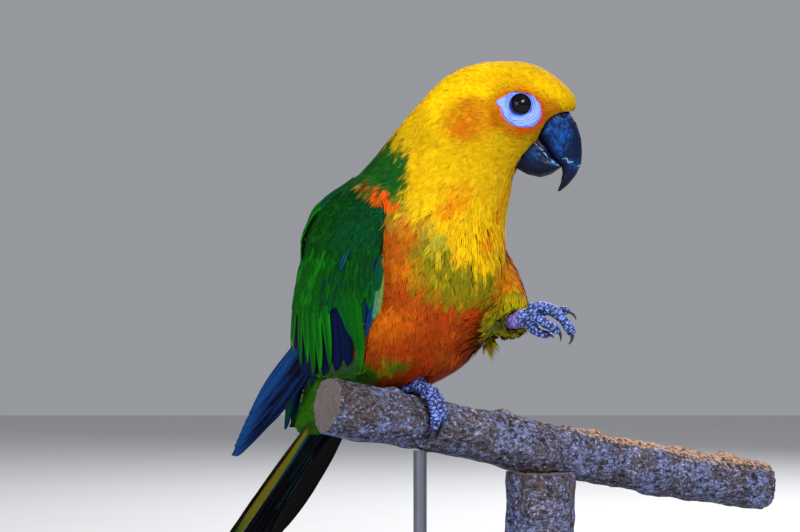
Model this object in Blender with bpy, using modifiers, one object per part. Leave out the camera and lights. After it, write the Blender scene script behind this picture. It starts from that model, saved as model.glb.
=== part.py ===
"""A life-size perched parakeet with a raised foot, on a cut branch held by a display stand.

Metres, +Z up. The origin is the middle of the stand's underside. Bird pieces are modelled in the
bird's own frame (x forward, y to its left, z up from its standing ankle) and placed by one matrix.
Tables of hoops are in millimetres.
"""

import math

import bmesh
import bpy
from mathutils import Matrix, Vector

MM = 0.001
GAP = 0.3 * MM

# Where the bird stands, and how its body and head are turned about the upright axis.
ANKLE_HEIGHT = 128 * MM
BIRD_AT = Vector((-29 * MM, -7 * MM, ANKLE_HEIGHT))
BODY_YAW = math.radians(-42)
HEAD_TURN = math.radians(34)
HEAD_CENTRE = Vector((49.4, 11.1, 105.5)) * MM

BIRD = Matrix.Translation(BIRD_AT) @ Matrix.Rotation(BODY_YAW, 4, "Z")
HEAD = Matrix.Translation(HEAD_CENTRE) @ Matrix.Rotation(HEAD_TURN, 4, "Z")

# Level hoops of neck and trunk: height, forward centre, half depth, half width.
TRUNK_HOOPS = (
    (-6.0, -19.0, 8.0, 8.0),
    (-2.0, -16.5, 17.5, 15.5),
    (5.5, -9.2, 29.6, 25.2),
    (15.0, -4.6, 35.4, 29.8),
    (26.0, 0.0, 38.5, 31.5),
    (37.0, 2.0, 39.5, 32.0),
    (48.0, 3.0, 38.8, 31.5),
    (59.0, 4.5, 38.5, 30.0),
    (67.5, 7.5, 37.6, 27.8),
    (76.0, 12.4, 34.8, 24.8),
    (85.0, 18.3, 29.4, 21.4),
    (94.0, 23.6, 25.4, 19.2),
    (102.0, 28.5, 21.0, 17.5),
    (109.0, 32.0, 15.5, 14.0),
    (113.0, 35.0, 8.0, 8.0),
)

# Upright hoops of the head, from its centre between the eyes: forward, top, bottom, half width.
HEAD_HOOPS = (
    (-40.0, -4.0, -22.0, 8.0),
    (-35.5, 4.6, -28.0, 14.5),
    (-28.0, 11.0, -32.0, 17.0),
    (-20.0, 14.2, -32.0, 17.2),
    (-12.0, 15.4, -31.0, 16.6),
    (-5.0, 15.4, -27.5, 15.6),
    (0.0, 14.8, -22.5, 14.8),
    (4.0, 13.8, -16.5, 13.8),
    (9.0, 11.0, -11.0, 12.2),
    (14.0, 7.2, -6.8, 9.8),
    (17.6, 3.2, -4.4, 7.0),
    (19.4, 0.0, -3.4, 4.0),
)

# The upper bill, from the head's centre: ridge point, edge point (forward, up), half width.
UPPER_BILL_HOOPS = (
    (9.0, 1.0, 0.0, -9.0, 6.2),
    (15.0, -2.6, 4.2, -12.4, 7.1),
    (18.8, -8.0, 6.4, -15.8, 6.7),
    (20.5, -13.4, 8.6, -19.0, 5.8),
    (20.8, -18.4, 10.8, -21.6, 4.8),
    (20.5, -22.8, 13.2, -22.9, 3.8),
    (18.8, -27.0, 13.6, -26.2, 2.8),
    (15.8, -30.6, 13.0, -30.0, 1.7),
    (12.5, -33.2, 11.8, -32.8, 0.7),
)

# The lower bill, from its root forwards: under side, upper edge (forward, up), half width.
LOWER_BILL_HOOPS = (
    (-4.0, -24.2, -0.4, -12.9, 4.6),
    (0.6, -26.9, 4.3, -14.3, 5.4),
    (5.6, -28.0, 7.2, -17.2, 5.6),
    (9.6, -26.8, 9.8, -20.4, 4.8),
    (12.2, -25.0, 12.2, -22.2, 3.2),
    (13.4, -23.9, 13.2, -23.2, 1.3),
)

EYE_RADIUS = 5.2 * MM
EYE_CENTRE = Vector((-0.6, 9.6, -1.8)) * MM

# The tail, and the rump over its root: distance along it, half depth, half width.
TAIL_ROOT = Vector((-29, -4, -2)) * MM
TAIL_FROM_UPRIGHT = math.radians(42)
RUMP_HOOPS = (
    (-36.0, 15.0, 17.0),
    (-20.0, 18.5, 20.5),
    (-6.0, 15.0, 19.0),
    (8.0, 9.5, 16.0),
    (18.0, 5.5, 13.5),
    (24.0, 3.0, 10.5),
)

# The closed tail: distance along it, half width, thickness, drop of its edges below its ridge.
TAIL_HOOPS = (
    (12.0, 13.0, 4.6, 3.8),
    (30.0, 16.5, 4.0, 5.2),
    (55.0, 17.5, 3.4, 6.0),
    (80.0, 16.0, 2.8, 5.6),
    (100.0, 12.5, 2.2, 4.2),
    (118.0, 7.5, 1.6, 2.2),
    (128.0, 4.2, 1.2, 1.0),
    (131.0, 1.6, 1.0, 0.4),
)

# A folded wing, wrapped round the body: height, forward centre, half depth and half width of its
# outer face, how far forward its front edge is, degrees round to its back edge, thickness.
WING_HOOPS = (
    (78.0, 13.0, 33.5, 24.5, 7.0, 62.0, 3.0),
    (73.5, 10.5, 37.0, 28.0, 14.5, 74.0, 6.0),
    (66.0, 5.4, 41.6, 31.8, 17.0, 80.0, 7.0),
    (56.0, 2.0, 43.8, 33.6, 17.5, 84.0, 7.0),
    (44.0, 0.0, 44.0, 34.0, 17.0, 86.0, 7.0),
    (30.0, -2.0, 45.5, 33.6, 13.5, 86.0, 7.0),
    (18.0, -5.5, 43.5, 32.2, 8.5, 84.0, 6.5),
    (8.0, -10.5, 38.0, 30.2, 4.0, 78.0, 4.5),
    (2.0, -14.5, 34.0, 28.6, 0.0, 66.0, 2.6),
)

# The long flight feathers of a wing: middle (forward, out, up), half width, thickness. The right
# wing's droop further back than the left wing's; both stand off from the tail.
DROOPED_FLIGHT = (
    (-18.0, 24.0, 26.0, 10.0, 3.0),
    (-30.0, 24.0, 12.0, 10.5, 3.0),
    (-44.0, 22.5, -1.0, 9.0, 2.6),
    (-59.0, 20.5, -12.0, 6.8, 2.0),
    (-71.0, 18.5, -22.0, 4.6, 1.5),
    (-78.0, 17.0, -28.5, 1.8, 1.0),
)
FOLDED_FLIGHT = (
    (-18.0, 24.0, 26.0, 10.0, 3.0),
    (-30.0, 21.0, 14.0, 10.5, 3.0),
    (-41.0, 17.5, 4.0, 9.5, 2.6),
    (-51.0, 14.0, -4.0, 7.5, 2.2),
    (-60.0, 10.5, -11.5, 5.2, 1.6),
    (-68.0, 7.5, -18.0, 1.8, 1.0),
)

# The raised thigh and shank under the flank's feathers: middle (forward, left, up), radius.
RAISED_LEG_HOOPS = (
    (6.0, 14.0, 52.0, 11.0),
    (15.0, 17.5, 46.0, 14.5),
    (23.0, 19.0, 38.5, 14.5),
    (30.5, 18.8, 31.0, 12.0),
    (35.5, 17.2, 27.0, 9.0),
    (39.0, 14.2, 24.6, 6.8),
)

# The standing shank, down to its ankle: middle (forward, left, up), radius.
STANDING_LEG_HOOPS = (
    (-2.0, -5.0, 15.0, 11.0),
    (-1.2, -2.5, 8.5, 8.0),
    (-0.6, 0.2, 3.6, 5.0),
)

# The raised foot, from its ankle: points along each toe (ahead, left, up), and their radii.
RAISED_ANKLE = Vector((14.2, -31.0, 154.5)) * MM
RAISED_SHIN = ((-4.5, 7.5, -2.4), (-3.0, 3.6, -1.9), (0.0, 0.0, -0.6), (5.0, -0.6, 0.2))
RAISED_SHIN_RADII = (2.6, 2.8, 3.4, 3.2)
RAISED_TOES = {
    "1": ((1.0, -1.2, -1.6), (3.7, -2.4, -4.6), (6.8, -2.4, -6.2), (9.6, -1.6, -6.6)),
    "2": ((4.0, 1.6, 1.2), (8.6, 3.8, 1.8), (13.4, 3.8, 2.4), (17.4, 2.6, 1.8)),
    "3": (
        (2.6, -1.4, 2.6),
        (6.6, -2.2, 3.8),
        (10.8, -2.6, 2.2),
        (14.4, -2.6, -0.8),
        (17.0, -2.2, -4.2),
        (18.2, -1.8, -6.6),
    ),
    "4": ((2.4, -2.6, 0.6), (6.2, -4.6, -1.2), (9.8, -4.8, -3.4), (13.0, -3.8, -5.4)),
}
RAISED_TOE_RADII = {"1": 1.9, "2": 1.8, "3": 2.2, "4": 2.1}
RAISED_CURLS = {"1": (0.2, 0.6, -0.3), "2": (0.3, 0.2, -1.0), "3": (-0.6, 0.2, -0.5), "4": (-0.3, 0.5, -1.0)}

# The cut branch: its two ends and what it leans on, in the world.
BRANCH_LEFT = Vector((-58.0, -36.0, 122.6)) * MM
BRANCH_RIGHT = Vector((115.0, 58.0, 84.4)) * MM
BRANCH_SAG = 1.4 * MM
BRANCH_RADII = (10.8, 11.0, 10.2, 9.9, 9.8, 10.2, 10.9, 10.4, 10.0, 9.9, 10.5, 10.1, 10.1, 10.5, 10.0)
POST_AT = 0.468
POST_RADIUS = 13.6 * MM
POST_BELOW = 8.5 * MM
POST_FOOT = 52 * MM

# The standing foot, on top of the branch this far along it. Each toe: its place along the
# branch, first and last degrees round it, radius, and how far it drifts along the branch.
STANDING_FOOT_AT = 0.182
STANDING_TOES = {
    "2": (5.2, 12, 84, 1.8, 1.2),
    "3": (0.6, 8, 98, 2.1, 2.6),
    "1": (2.8, -16, -92, 1.7, 1.0),
    "4": (-2.4, -10, -108, 2.0, -1.2),
}
FOOT_ABOVE = 2.4 * MM
# Its shin (x, y, z, radius) and its pad (out of the branch's front, along it, radius).
STANDING_SHIN = ((-0.8, 1.6, 6.0, 2.5), (-0.4, 0.8, 3.4, 2.8), (0.9, 0.5, -0.2, 2.9))
STANDING_PAD = ((-4.6, -0.6, 1.8), (0.0, 1.2, 2.5), (3.8, 2.4, 2.0))
STANDING_CLAW = 7.0
RAISED_CLAW = 5.0
CLAW_BEND = math.radians(75)

# The display stand.
BASE_SIZE = Vector((150, 120, 8)) * MM
BASE_EDGE = 1.2 * MM
ROD_RADIUS = 2.5 * MM
FRONT_ROD_AT = 0.2

# Where the body is cut into its parts: a point on each cut, and the way it faces.
NECK_CUT = (Vector((12, 0, 73)) * MM, Vector((-0.45, 0, -1)).normalized())
HEAD_CUT = (Vector((-24, 0, -14)) * MM, Vector((0.72, 0, 1)).normalized())
LEG_CUTS = {
    "left": (Vector((29, 20, 33)) * MM, Vector((0.66, 0.42, -0.62)).normalized()),
    "right": (Vector((6, -10, 12.5)) * MM, Vector((0.62, -0.42, -0.66)).normalized()),
}

# The way a folded wing's long feathers face: out of its side and back.
FLIGHT_FACE = Vector((-0.55, -0.84, 0.0))

# How finely the merged bodies and the claws are divided.
BODY_VOXEL = 2.0 * MM
FOOT_VOXEL = 0.5 * MM
BODY_TRIANGLES = 1900
FOOT_TRIANGLES = 640
CLAW_SIDES = 7

# The collections of the finished parts and of the forms they are cut with.
PARTS = "perched_parakeet"
FORMS = "forms"


def clear_scene():
    """Removes every object, so that only the model is left."""
    for old in list(bpy.data.objects):
        bpy.data.objects.remove(old, do_unlink=True)


def collection(name, hidden=False):
    """A new collection in the scene."""
    made = bpy.data.collections.new(name)
    made.hide_render = hidden
    bpy.context.scene.collection.children.link(made)
    return made


def material(name, colour, roughness, metallic=0.0):
    """A Principled material of one colour."""
    made = bpy.data.materials.new(name)
    made.use_nodes = True
    shader = made.node_tree.nodes["Principled BSDF"]
    shader.inputs["Base Color"].default_value = (*colour, 1.0)
    shader.inputs["Roughness"].default_value = roughness
    shader.inputs["Metallic"].default_value = metallic
    return made


def add_object(name, mesh, finish=None, group=PARTS):
    """An object that shows a mesh, in a collection, with one material."""
    made = bpy.data.objects.new(name, mesh)
    bpy.data.collections[group].objects.link(made)
    if finish:
        mesh.materials.clear()
        mesh.materials.append(finish)
    return made


def bird_part(name, mesh, finish):
    """A finished piece of the bird, set where the bird stands."""
    mesh.shade_smooth()
    made = add_object(name, mesh, finish)
    made.matrix_world = BIRD
    return made


def mesh_of(bm, name):
    """A mesh from a bmesh, which is freed."""
    mesh = bpy.data.meshes.new(name)
    bm.to_mesh(mesh)
    bm.free()
    return mesh


def catmull_rom(rows, at):
    """The row of a table at a fractional index, on a smooth curve through its rows."""
    i = min(int(at), len(rows) - 2)
    t = at - i
    before, start, end, after = (rows[max(0, min(len(rows) - 1, i + k))] for k in (-1, 0, 1, 2))
    return [
        0.5 * (2 * b + (c - a) * t + (2 * a - 5 * b + 4 * c - d) * t**2 + (3 * b - a - 3 * c + d) * t**3)
        for a, b, c, d in zip(before, start, end, after)
    ]


def refined(rows, steps):
    """A table with more rows, each gap between its rows divided into steps."""
    count = (len(rows) - 1) * steps
    return [catmull_rom(rows, i / steps) for i in range(count + 1)]


def loft(name, rings):
    """A closed mesh through rings that all have the same number of points."""
    bm = bmesh.new()
    loops = [[bm.verts.new(point) for point in ring] for ring in rings]
    for first, second in zip(loops, loops[1:]):
        for i in range(len(first)):
            j = (i + 1) % len(first)
            bm.faces.new((first[i], first[j], second[j], second[i]))
    bm.faces.new(loops[0][::-1])
    bm.faces.new(loops[-1])
    bmesh.ops.triangulate(bm, faces=[f for f in bm.faces if len(f.verts) > 4])
    bmesh.ops.recalc_face_normals(bm, faces=bm.faces)
    return mesh_of(bm, name)


def ellipse(centre, across, along, points):
    """A ring of points round a centre, on two half-axis vectors."""
    turns = (2 * math.pi * i / points for i in range(points))
    return [centre + across * math.cos(a) + along * math.sin(a) for a in turns]


def tube_rings(path, points):
    """Round rings at right angles to a path of (point, radius)."""
    rings = []
    side = None
    for i, (point, radius) in enumerate(path):
        ahead = path[min(i + 1, len(path) - 1)][0] - path[max(i - 1, 0)][0]
        ahead.normalize()
        if side is None:
            side = ahead.orthogonal().normalized()
        side = (side - ahead * side.dot(ahead)).normalized()
        rings.append(ellipse(point, side * radius, ahead.cross(side) * radius, points))
    return rings


def tube(name, rows, points=14, steps=2):
    """A round limb through rows of (forward, left, up, radius)."""
    path = [(Vector(row[:3]) * MM, row[3] * MM) for row in refined(rows, steps)]
    return loft(name, tube_rings(path, points))


def trunk_form():
    """Neck and trunk, as level hoops."""
    rings = []
    for height, forward, depth, width in refined(TRUNK_HOOPS, 2):
        centre = Vector((forward, 0, height)) * MM
        rings.append(ellipse(centre, Vector((depth, 0, 0)) * MM, Vector((0, width, 0)) * MM, 28))
    return loft("trunk_form", rings)


def head_form():
    """The head, as upright hoops across its own forward axis."""
    turn = HEAD.to_3x3()
    rings = []
    for forward, top, bottom, width in refined(HEAD_HOOPS, 2):
        centre = HEAD @ (Vector((forward, 0, (top + bottom) / 2)) * MM)
        across = turn @ Vector((0, width, 0)) * MM
        rings.append(ellipse(centre, across, Vector((0, 0, (top - bottom) / 2)) * MM, 24))
    return loft("head_form", rings)


def tail_axes():
    """Directions along the tail, across it to the bird's left, and out of its upper face."""
    along = Vector((-math.sin(TAIL_FROM_UPRIGHT), 0, -math.cos(TAIL_FROM_UPRIGHT)))
    across = Vector((0, 1, 0))
    return along, across, across.cross(along)


def rump_form():
    """Rump and vent, narrowing over the root of the tail."""
    along, across, up = tail_axes()
    rings = [
        ellipse(TAIL_ROOT + along * reach * MM, across * width * MM, up * depth * MM, 24)
        for reach, depth, width in refined(RUMP_HOOPS, 2)
    ]
    return loft("rump_form", rings)


def evaluated(obj, name):
    """The mesh of an object as its modifiers leave it; the object is removed."""
    bpy.context.view_layer.update()
    graph = bpy.context.evaluated_depsgraph_get()
    mesh = bpy.data.meshes.new_from_object(obj.evaluated_get(graph))
    mesh.name = name
    bpy.data.objects.remove(obj, do_unlink=True)
    return mesh


def merged(name, meshes, voxel, smoothing, triangles):
    """One closed body over several overlapping meshes: remeshed, smoothed and thinned out."""
    bm = bmesh.new()
    for mesh in meshes:
        bm.from_mesh(mesh)
    form = add_object(name, mesh_of(bm, name), group=FORMS)
    remesh = form.modifiers.new("remesh", "REMESH")
    remesh.mode = "VOXEL"
    remesh.voxel_size = voxel
    smooth = form.modifiers.new("smooth", "SMOOTH")
    smooth.iterations = smoothing
    smooth.factor = 0.5
    fine = evaluated(form, name)
    thin = add_object(name, fine, group=FORMS)
    decimate = thin.modifiers.new("thin", "DECIMATE")
    decimate.ratio = min(1.0, triangles / (2 * len(fine.polygons)))
    decimate.use_collapse_triangulate = True
    return evaluated(thin, name)


def halves(mesh, point, normal):
    """The two closed pieces of a mesh on either side of a plane, a thin cut apart."""
    pieces = []
    for side in (1, -1):
        bm = bmesh.new()
        bm.from_mesh(mesh)
        cut = bmesh.ops.bisect_plane(
            bm,
            geom=bm.verts[:] + bm.edges[:] + bm.faces[:],
            plane_co=point + normal * (side * GAP / 2),
            plane_no=normal * side,
            clear_inner=True,
        )
        rim = [edge for edge in cut["geom_cut"] if isinstance(edge, bmesh.types.BMEdge)]
        bmesh.ops.holes_fill(bm, edges=rim, sides=0)
        bmesh.ops.triangulate(bm, faces=[f for f in bm.faces if len(f.verts) > 4])
        bmesh.ops.recalc_face_normals(bm, faces=bm.faces)
        pieces.append(mesh_of(bm, mesh.name))
    return pieces


def grown(mesh, by):
    """A copy of a closed mesh whose surface stands out by a distance."""
    bm = bmesh.new()
    bm.from_mesh(mesh)
    bm.normal_update()
    moves = [(vert, vert.normal * by) for vert in bm.verts]
    for vert, move in moves:
        vert.co += move
    return mesh_of(bm, mesh.name + "_grown")


def largest_body(mesh):
    """Leaves only the largest connected body of a mesh, dropping slivers that a cut made."""
    bm = bmesh.new()
    bm.from_mesh(mesh)
    bmesh.ops.remove_doubles(bm, verts=bm.verts, dist=1e-6)
    left = set(bm.faces)
    bodies = []
    while left:
        body, waiting = set(), [left.pop()]
        while waiting:
            face = waiting.pop()
            body.add(face)
            near = {other for edge in face.edges for other in edge.link_faces} & left
            left -= near
            waiting.extend(near)
        bodies.append(body)
    keep = max(bodies, key=lambda body: sum(face.calc_area() for face in body))
    bmesh.ops.delete(bm, geom=[f for f in bm.faces if f not in keep], context="FACES")
    bmesh.ops.triangulate(bm, faces=bm.faces)
    return mesh_of(bm, mesh.name)


def trimmed(mesh, *neighbours):
    """A mesh with its neighbours, each grown by the gap, taken out of it."""
    work = add_object(mesh.name, mesh, group=FORMS)
    cutters = [add_object("cutter", grown(other, GAP), group=FORMS) for other in neighbours]
    for cutter in cutters:
        cut = work.modifiers.new("trim", "BOOLEAN")
        cut.operation = "DIFFERENCE"
        cut.solver = "EXACT"
        cut.object = cutter
    done = evaluated(work, mesh.name)
    for cutter in cutters:
        bpy.data.objects.remove(cutter, do_unlink=True)
    return largest_body(done)


def mirrored(mesh, name):
    """The mesh on the bird's other side."""
    bm = bmesh.new()
    bm.from_mesh(mesh)
    for vert in bm.verts:
        vert.co.y *= -1
    bmesh.ops.reverse_faces(bm, faces=bm.faces)
    return mesh_of(bm, name)


def in_bird(mesh, name):
    """A copy of a world mesh, in the bird's frame."""
    bm = bmesh.new()
    bm.from_mesh(mesh)
    bm.transform(BIRD.inverted())
    return mesh_of(bm, name)


def bill_form(name, hoops):
    """One half of the bill: hoops that run from its ridge to its edge, in the head's frame."""
    turn = HEAD.to_3x3()
    rings = []
    for ridge_x, ridge_z, edge_x, edge_z, width in hoops:
        ridge = Vector((ridge_x, 0, ridge_z)) * MM
        edge = Vector((edge_x, 0, edge_z)) * MM
        across = turn @ Vector((0, width, 0)) * MM
        rings.append(ellipse(HEAD @ ((ridge + edge) / 2), across, turn @ ((ridge - edge) / 2), 14))
    return loft(name, rings)


def eyeball(side):
    """An eye, as a ball in the head; side is 1 for the left and -1 for the right."""
    bm = bmesh.new()
    bmesh.ops.create_uvsphere(bm, u_segments=14, v_segments=8, radius=EYE_RADIUS)
    centre = Vector((EYE_CENTRE.x, side * EYE_CENTRE.y, EYE_CENTRE.z))
    bm.transform(HEAD @ Matrix.Translation(centre))
    return mesh_of(bm, "eye_form")


def wing_form():
    """The right wing's feathered arm, as bands round the side of the body."""
    rings = []
    for height, forward, depth, width, front, back, thick in WING_HOOPS:
        first = -math.asin(max(-1.0, min(1.0, (front - forward) / depth)))
        turns = [first + (math.radians(back) - first) * i / 7 for i in range(8)]
        outer, inner = [], []
        for i, turn in enumerate(turns):
            thin = thick * min(1.0, 0.4 + 0.6 * min(i, 7 - i))
            for ring, inset in ((outer, 0.0), (inner, thin)):
                x = forward - (depth - inset) * math.sin(turn)
                y = -(width - inset) * math.cos(turn)
                ring.append(Vector((x, y, height)) * MM)
        rings.append(outer + inner[::-1])
    return loft("wing_form", rings)


def flight_form(rows):
    """A right wing's long feathers, as one blade that narrows to the wing's tip."""
    rings = []
    for i, (forward, out, up, width, thick) in enumerate(rows):
        ahead = Vector(rows[min(i + 1, len(rows) - 1)][:3]) - Vector(rows[max(i - 1, 0)][:3])
        ahead.y *= -1
        across = ahead.normalized().cross(FLIGHT_FACE).normalized()
        face = across.cross(ahead.normalized())
        centre = Vector((forward, -out, up)) * MM
        rings.append(ellipse(centre, across * width * MM, face * thick / 2 * MM, 12))
    return loft("flight_form", rings)


def tail_form():
    """The closed tail: an arched blade under its two middle feathers."""
    along, across, up = tail_axes()
    rings = []
    for reach, width, thick, drop in TAIL_HOOPS:
        centre = TAIL_ROOT + along * reach * MM
        upper, lower = [], []
        for i in range(9):
            share = -1 + i / 4
            edge = centre + across * (share * width * MM) - up * (drop * share**2 * MM)
            half = up * (thick * MM * (0.5 - 0.32 * share**2))
            upper.append(edge + half)
            lower.append(edge - half)
        rings.append(upper + lower[::-1])
    return loft("tail_form", rings)


def branch_axis():
    """The branch's own directions: along it, level out of its front, and up."""
    along = (BRANCH_RIGHT - BRANCH_LEFT).normalized()
    front = along.cross(Vector((0, 0, 1))).normalized()
    return along, front, front.cross(along)


def branch_form():
    """The branch, slightly uneven, with swellings where shoots grew."""
    along, front, up = branch_axis()
    rings = []
    for i, radius in enumerate(BRANCH_RADII):
        share = i / (len(BRANCH_RADII) - 1)
        centre = branch_point(share)
        uneven = [1 + 0.035 * math.sin(3 * a + 9 * share) for a in ring_angles(16)]
        ring = [
            centre + (front * math.cos(a) + up * math.sin(a)) * (radius * MM * stretch)
            for a, stretch in zip(ring_angles(16), uneven)
        ]
        rings.append(ring)
    return loft("branch_form", rings)


def ring_angles(count):
    """Evenly spaced angles round a ring."""
    return [2 * math.pi * i / count for i in range(count)]


def upright(name, centre, radius, low, high, sides):
    """A round upright between two heights."""
    bm = bmesh.new()
    bmesh.ops.create_cone(
        bm, cap_ends=True, segments=sides, radius1=radius, radius2=radius, depth=high - low
    )
    bm.transform(Matrix.Translation((centre.x, centre.y, (low + high) / 2)))
    bmesh.ops.triangulate(bm, faces=bm.faces)
    return mesh_of(bm, name)


def branch_point(share):
    """A point on the branch's middle line, which sags a little between its ends."""
    return BRANCH_LEFT.lerp(BRANCH_RIGHT, share) - Vector((0, 0, BRANCH_SAG * math.sin(math.pi * share)))


def gripping_toe(start, across, first, last, radius, lean, steps=7):
    """A toe that runs round the branch from its top: path of (point, radius), in the world.

    start is the branch's middle under the foot, across the toe's place along the branch in mm,
    first and last its angles from the top in degrees, lean how far it drifts along the branch.
    """
    along, front, up = branch_axis()
    path = []
    for i in range(steps):
        share = i / (steps - 1)
        angle = math.radians(first + (last - first) * share)
        thin = radius * (1 - 0.22 * share) + 0.35 * math.cos(share * math.pi * 5)
        reach = (max(BRANCH_RADII) + thin + 0.1) * MM
        centre = start + along * ((across + lean * share) * MM)
        path.append((centre + (up * math.cos(angle) + front * math.sin(angle)) * reach, thin * MM))
    return path


def raised_toe(toe):
    """A curled toe of the raised foot: path of (point, radius), in the world."""
    points = refined(RAISED_TOES[toe], 2)
    path = []
    for i, point in enumerate(points):
        share = i / (len(points) - 1)
        radius = RAISED_TOE_RADII[toe] * (1 - 0.2 * share) + 0.25 * math.cos(share * math.pi * 5)
        path.append((RAISED_ANKLE + Vector(point) * MM, radius * MM))
    return path


def claw_form(name, path, curl, length):
    """A curved claw that leaves a toe's end: curl is the direction it bends to."""
    (before, _), (end, radius) = path[-2], path[-1]
    ahead = (end - before).normalized()
    curl = (curl - ahead * curl.dot(ahead)).normalized()
    reach = length * MM / CLAW_BEND
    rows = []
    for i in range(6):
        share = i / 5
        angle = CLAW_BEND * share
        turn = ahead * math.sin(angle) + curl * (1 - math.cos(angle))
        rows.append((end - ahead * 0.8 * MM + turn * reach, radius * (0.74 - 0.62 * share)))
    return loft(name, tube_rings(rows, CLAW_SIDES))


def joined_foot(name, paths, claws, branch):
    """A foot's flesh as one body and its claws, clear of each other and of the branch."""
    pieces = [loft("limb", tube_rings(path, 10)) for path in paths]
    foot = trimmed(merged(name, pieces, FOOT_VOXEL, 2, FOOT_TRIANGLES), branch)
    return foot, {toe: trimmed(claw, foot, branch) for toe, claw in claws.items()}


def standing_foot(branch):
    """The right foot on the branch: its bare shin and four toes, and its claws."""
    start = branch_point(STANDING_FOOT_AT)
    along, front, up = branch_axis()
    toes = {toe: gripping_toe(start, *row) for toe, row in STANDING_TOES.items()}
    top = start + up * (max(BRANCH_RADII) * MM + FOOT_ABOVE)
    shin = [(top + Vector(row[:3]) * MM, row[3] * MM) for row in STANDING_SHIN]
    pad = [
        (top + (front * out + along * across) * MM, radius * MM) for out, across, radius in STANDING_PAD
    ]
    claws = {
        toe: claw_form(f"claw_right_{toe}", path, (start - path[-1][0]).normalized(), STANDING_CLAW)
        for toe, path in toes.items()
    }
    return joined_foot("foot_right", [*toes.values(), shin, pad], claws, branch)


def raised_foot(branch):
    """The left foot, held up with its toes half closed, and its claws."""
    toes = {toe: raised_toe(toe) for toe in RAISED_TOES}
    shin = [
        (RAISED_ANKLE + Vector(point) * MM, radius * MM)
        for point, radius in zip(RAISED_SHIN, RAISED_SHIN_RADII)
    ]
    claws = {
        toe: claw_form(f"claw_left_{toe}", path, Vector(RAISED_CURLS[toe]), RAISED_CLAW)
        for toe, path in toes.items()
    }
    return joined_foot("foot_left", [*toes.values(), shin], claws, branch)


def main():
    """Builds every part of the model."""
    plumage = material("plumage", (0.9, 0.6, 0.05), 0.8)
    wing_green = material("wing_green", (0.03, 0.25, 0.05), 0.6)
    flight_blue = material("flight_blue", (0.01, 0.06, 0.25), 0.5)
    bill_horn = material("bill_horn", (0.01, 0.02, 0.05), 0.4)
    eye_gloss = material("eye_gloss", (0.01, 0.01, 0.02), 0.1)
    foot_skin = material("foot_skin", (0.2, 0.3, 0.6), 0.6)
    bark = material("bark", (0.15, 0.13, 0.13), 0.9)
    steel = material("stand_metal", (0.4, 0.4, 0.42), 0.35, 1.0)

    collection(PARTS)
    collection(FORMS, hidden=True)
    branch = branch_form()
    feet = {"right": standing_foot(branch), "left": raised_foot(branch)}
    shanks = [tube("shank", rows) for rows in (RAISED_LEG_HOOPS, STANDING_LEG_HOOPS)]
    forms = [trunk_form(), head_form(), rump_form(), *shanks]
    whole = merged("whole_body", forms, BODY_VOXEL, 4, BODY_TRIANGLES)
    apart = [in_bird(mesh, "apart") for mesh in (branch, feet["right"][0], feet["left"][0])]
    whole = trimmed(whole, *apart)
    upper_bill = bill_form("bill_upper", UPPER_BILL_HOOPS)
    lower_bill = trimmed(bill_form("bill_lower", LOWER_BILL_HOOPS), upper_bill)
    eyes = {"right": eyeball(-1), "left": eyeball(1)}

    trunk, upper = halves(whole, *NECK_CUT)
    head, neck = halves(upper, HEAD @ HEAD_CUT[0], HEAD.to_3x3() @ HEAD_CUT[1])
    head = trimmed(head, upper_bill, lower_bill, *eyes.values())
    legs = {}
    for side, cut in LEG_CUTS.items():
        legs[side], trunk = halves(trunk, *cut)

    left_wing = trimmed(mirrored(wing_form(), "wing_left"), trunk, neck, *legs.values())
    wing = trimmed(wing_form(), trunk, neck, *legs.values())
    tail = trimmed(tail_form(), trunk, *legs.values())
    flights = {
        "right": trimmed(flight_form(DROOPED_FLIGHT), trunk, wing, tail, *legs.values()),
        "left": trimmed(
            mirrored(flight_form(FOLDED_FLIGHT), "left"), trunk, left_wing, tail, *legs.values()
        ),
    }

    bird_part("trunk", trunk, plumage)
    bird_part("neck", neck, plumage)
    bird_part("head", head, plumage)
    for side, leg in legs.items():
        bird_part("leg_" + side, leg, plumage)
    bird_part("bill_upper", upper_bill, bill_horn)
    bird_part("bill_lower", lower_bill, bill_horn)
    for side, eye in eyes.items():
        bird_part("eye_" + side, eye, eye_gloss)
    bird_part("wing_left", left_wing, wing_green)
    bird_part("wing_right", wing, wing_green)
    for side, flight in flights.items():
        bird_part("flight_" + side, flight, flight_blue)
    bird_part("tail", tail, flight_blue)

    for side, (foot, claws) in feet.items():
        add_object("foot_" + side, foot, foot_skin)
        for toe, claw in claws.items():
            add_object(f"claw_{side}_{toe}", claw, bill_horn)

    post_top = branch_point(POST_AT) - Vector((0, 0, POST_BELOW))
    post = upright("perch_post", post_top, POST_RADIUS, POST_FOOT, post_top.z, 20)
    add_object("perch_post", trimmed(post, branch), bark)
    add_object("perch_branch", branch, bark)
    front_top = branch_point(FRONT_ROD_AT)
    front_rod = upright("rod", front_top, ROD_RADIUS, BASE_SIZE.z + GAP, front_top.z, 12)
    add_object("stand_rod_front", trimmed(front_rod, branch), steel)
    back_rod = upright("rod", post_top, ROD_RADIUS * 1.6, BASE_SIZE.z + GAP, POST_FOOT - GAP, 12)
    add_object("stand_rod_back", back_rod, steel)
    bm = bmesh.new()
    bmesh.ops.create_cube(bm, matrix=Matrix.Diagonal((*BASE_SIZE, 1)))
    bm.transform(Matrix.Translation((0, 0, BASE_SIZE.z / 2)))
    base = add_object("stand_base", mesh_of(bm, "stand_base"), steel)
    bevel = base.modifiers.new("soft_edges", "BEVEL")
    bevel.width = BASE_EDGE
    bevel.segments = 2


clear_scene()
main()
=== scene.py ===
"""A life-size museum model of a jandaya parakeet: plumage, bare parts, perch, stand and light."""

import itertools
import logging
import math
from dataclasses import dataclass, field
from enum import Enum

import bmesh
import bpy
import numpy as np
from mathutils import Matrix, Vector
from mathutils.bvhtree import BVHTree
from mathutils.kdtree import KDTree


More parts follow.
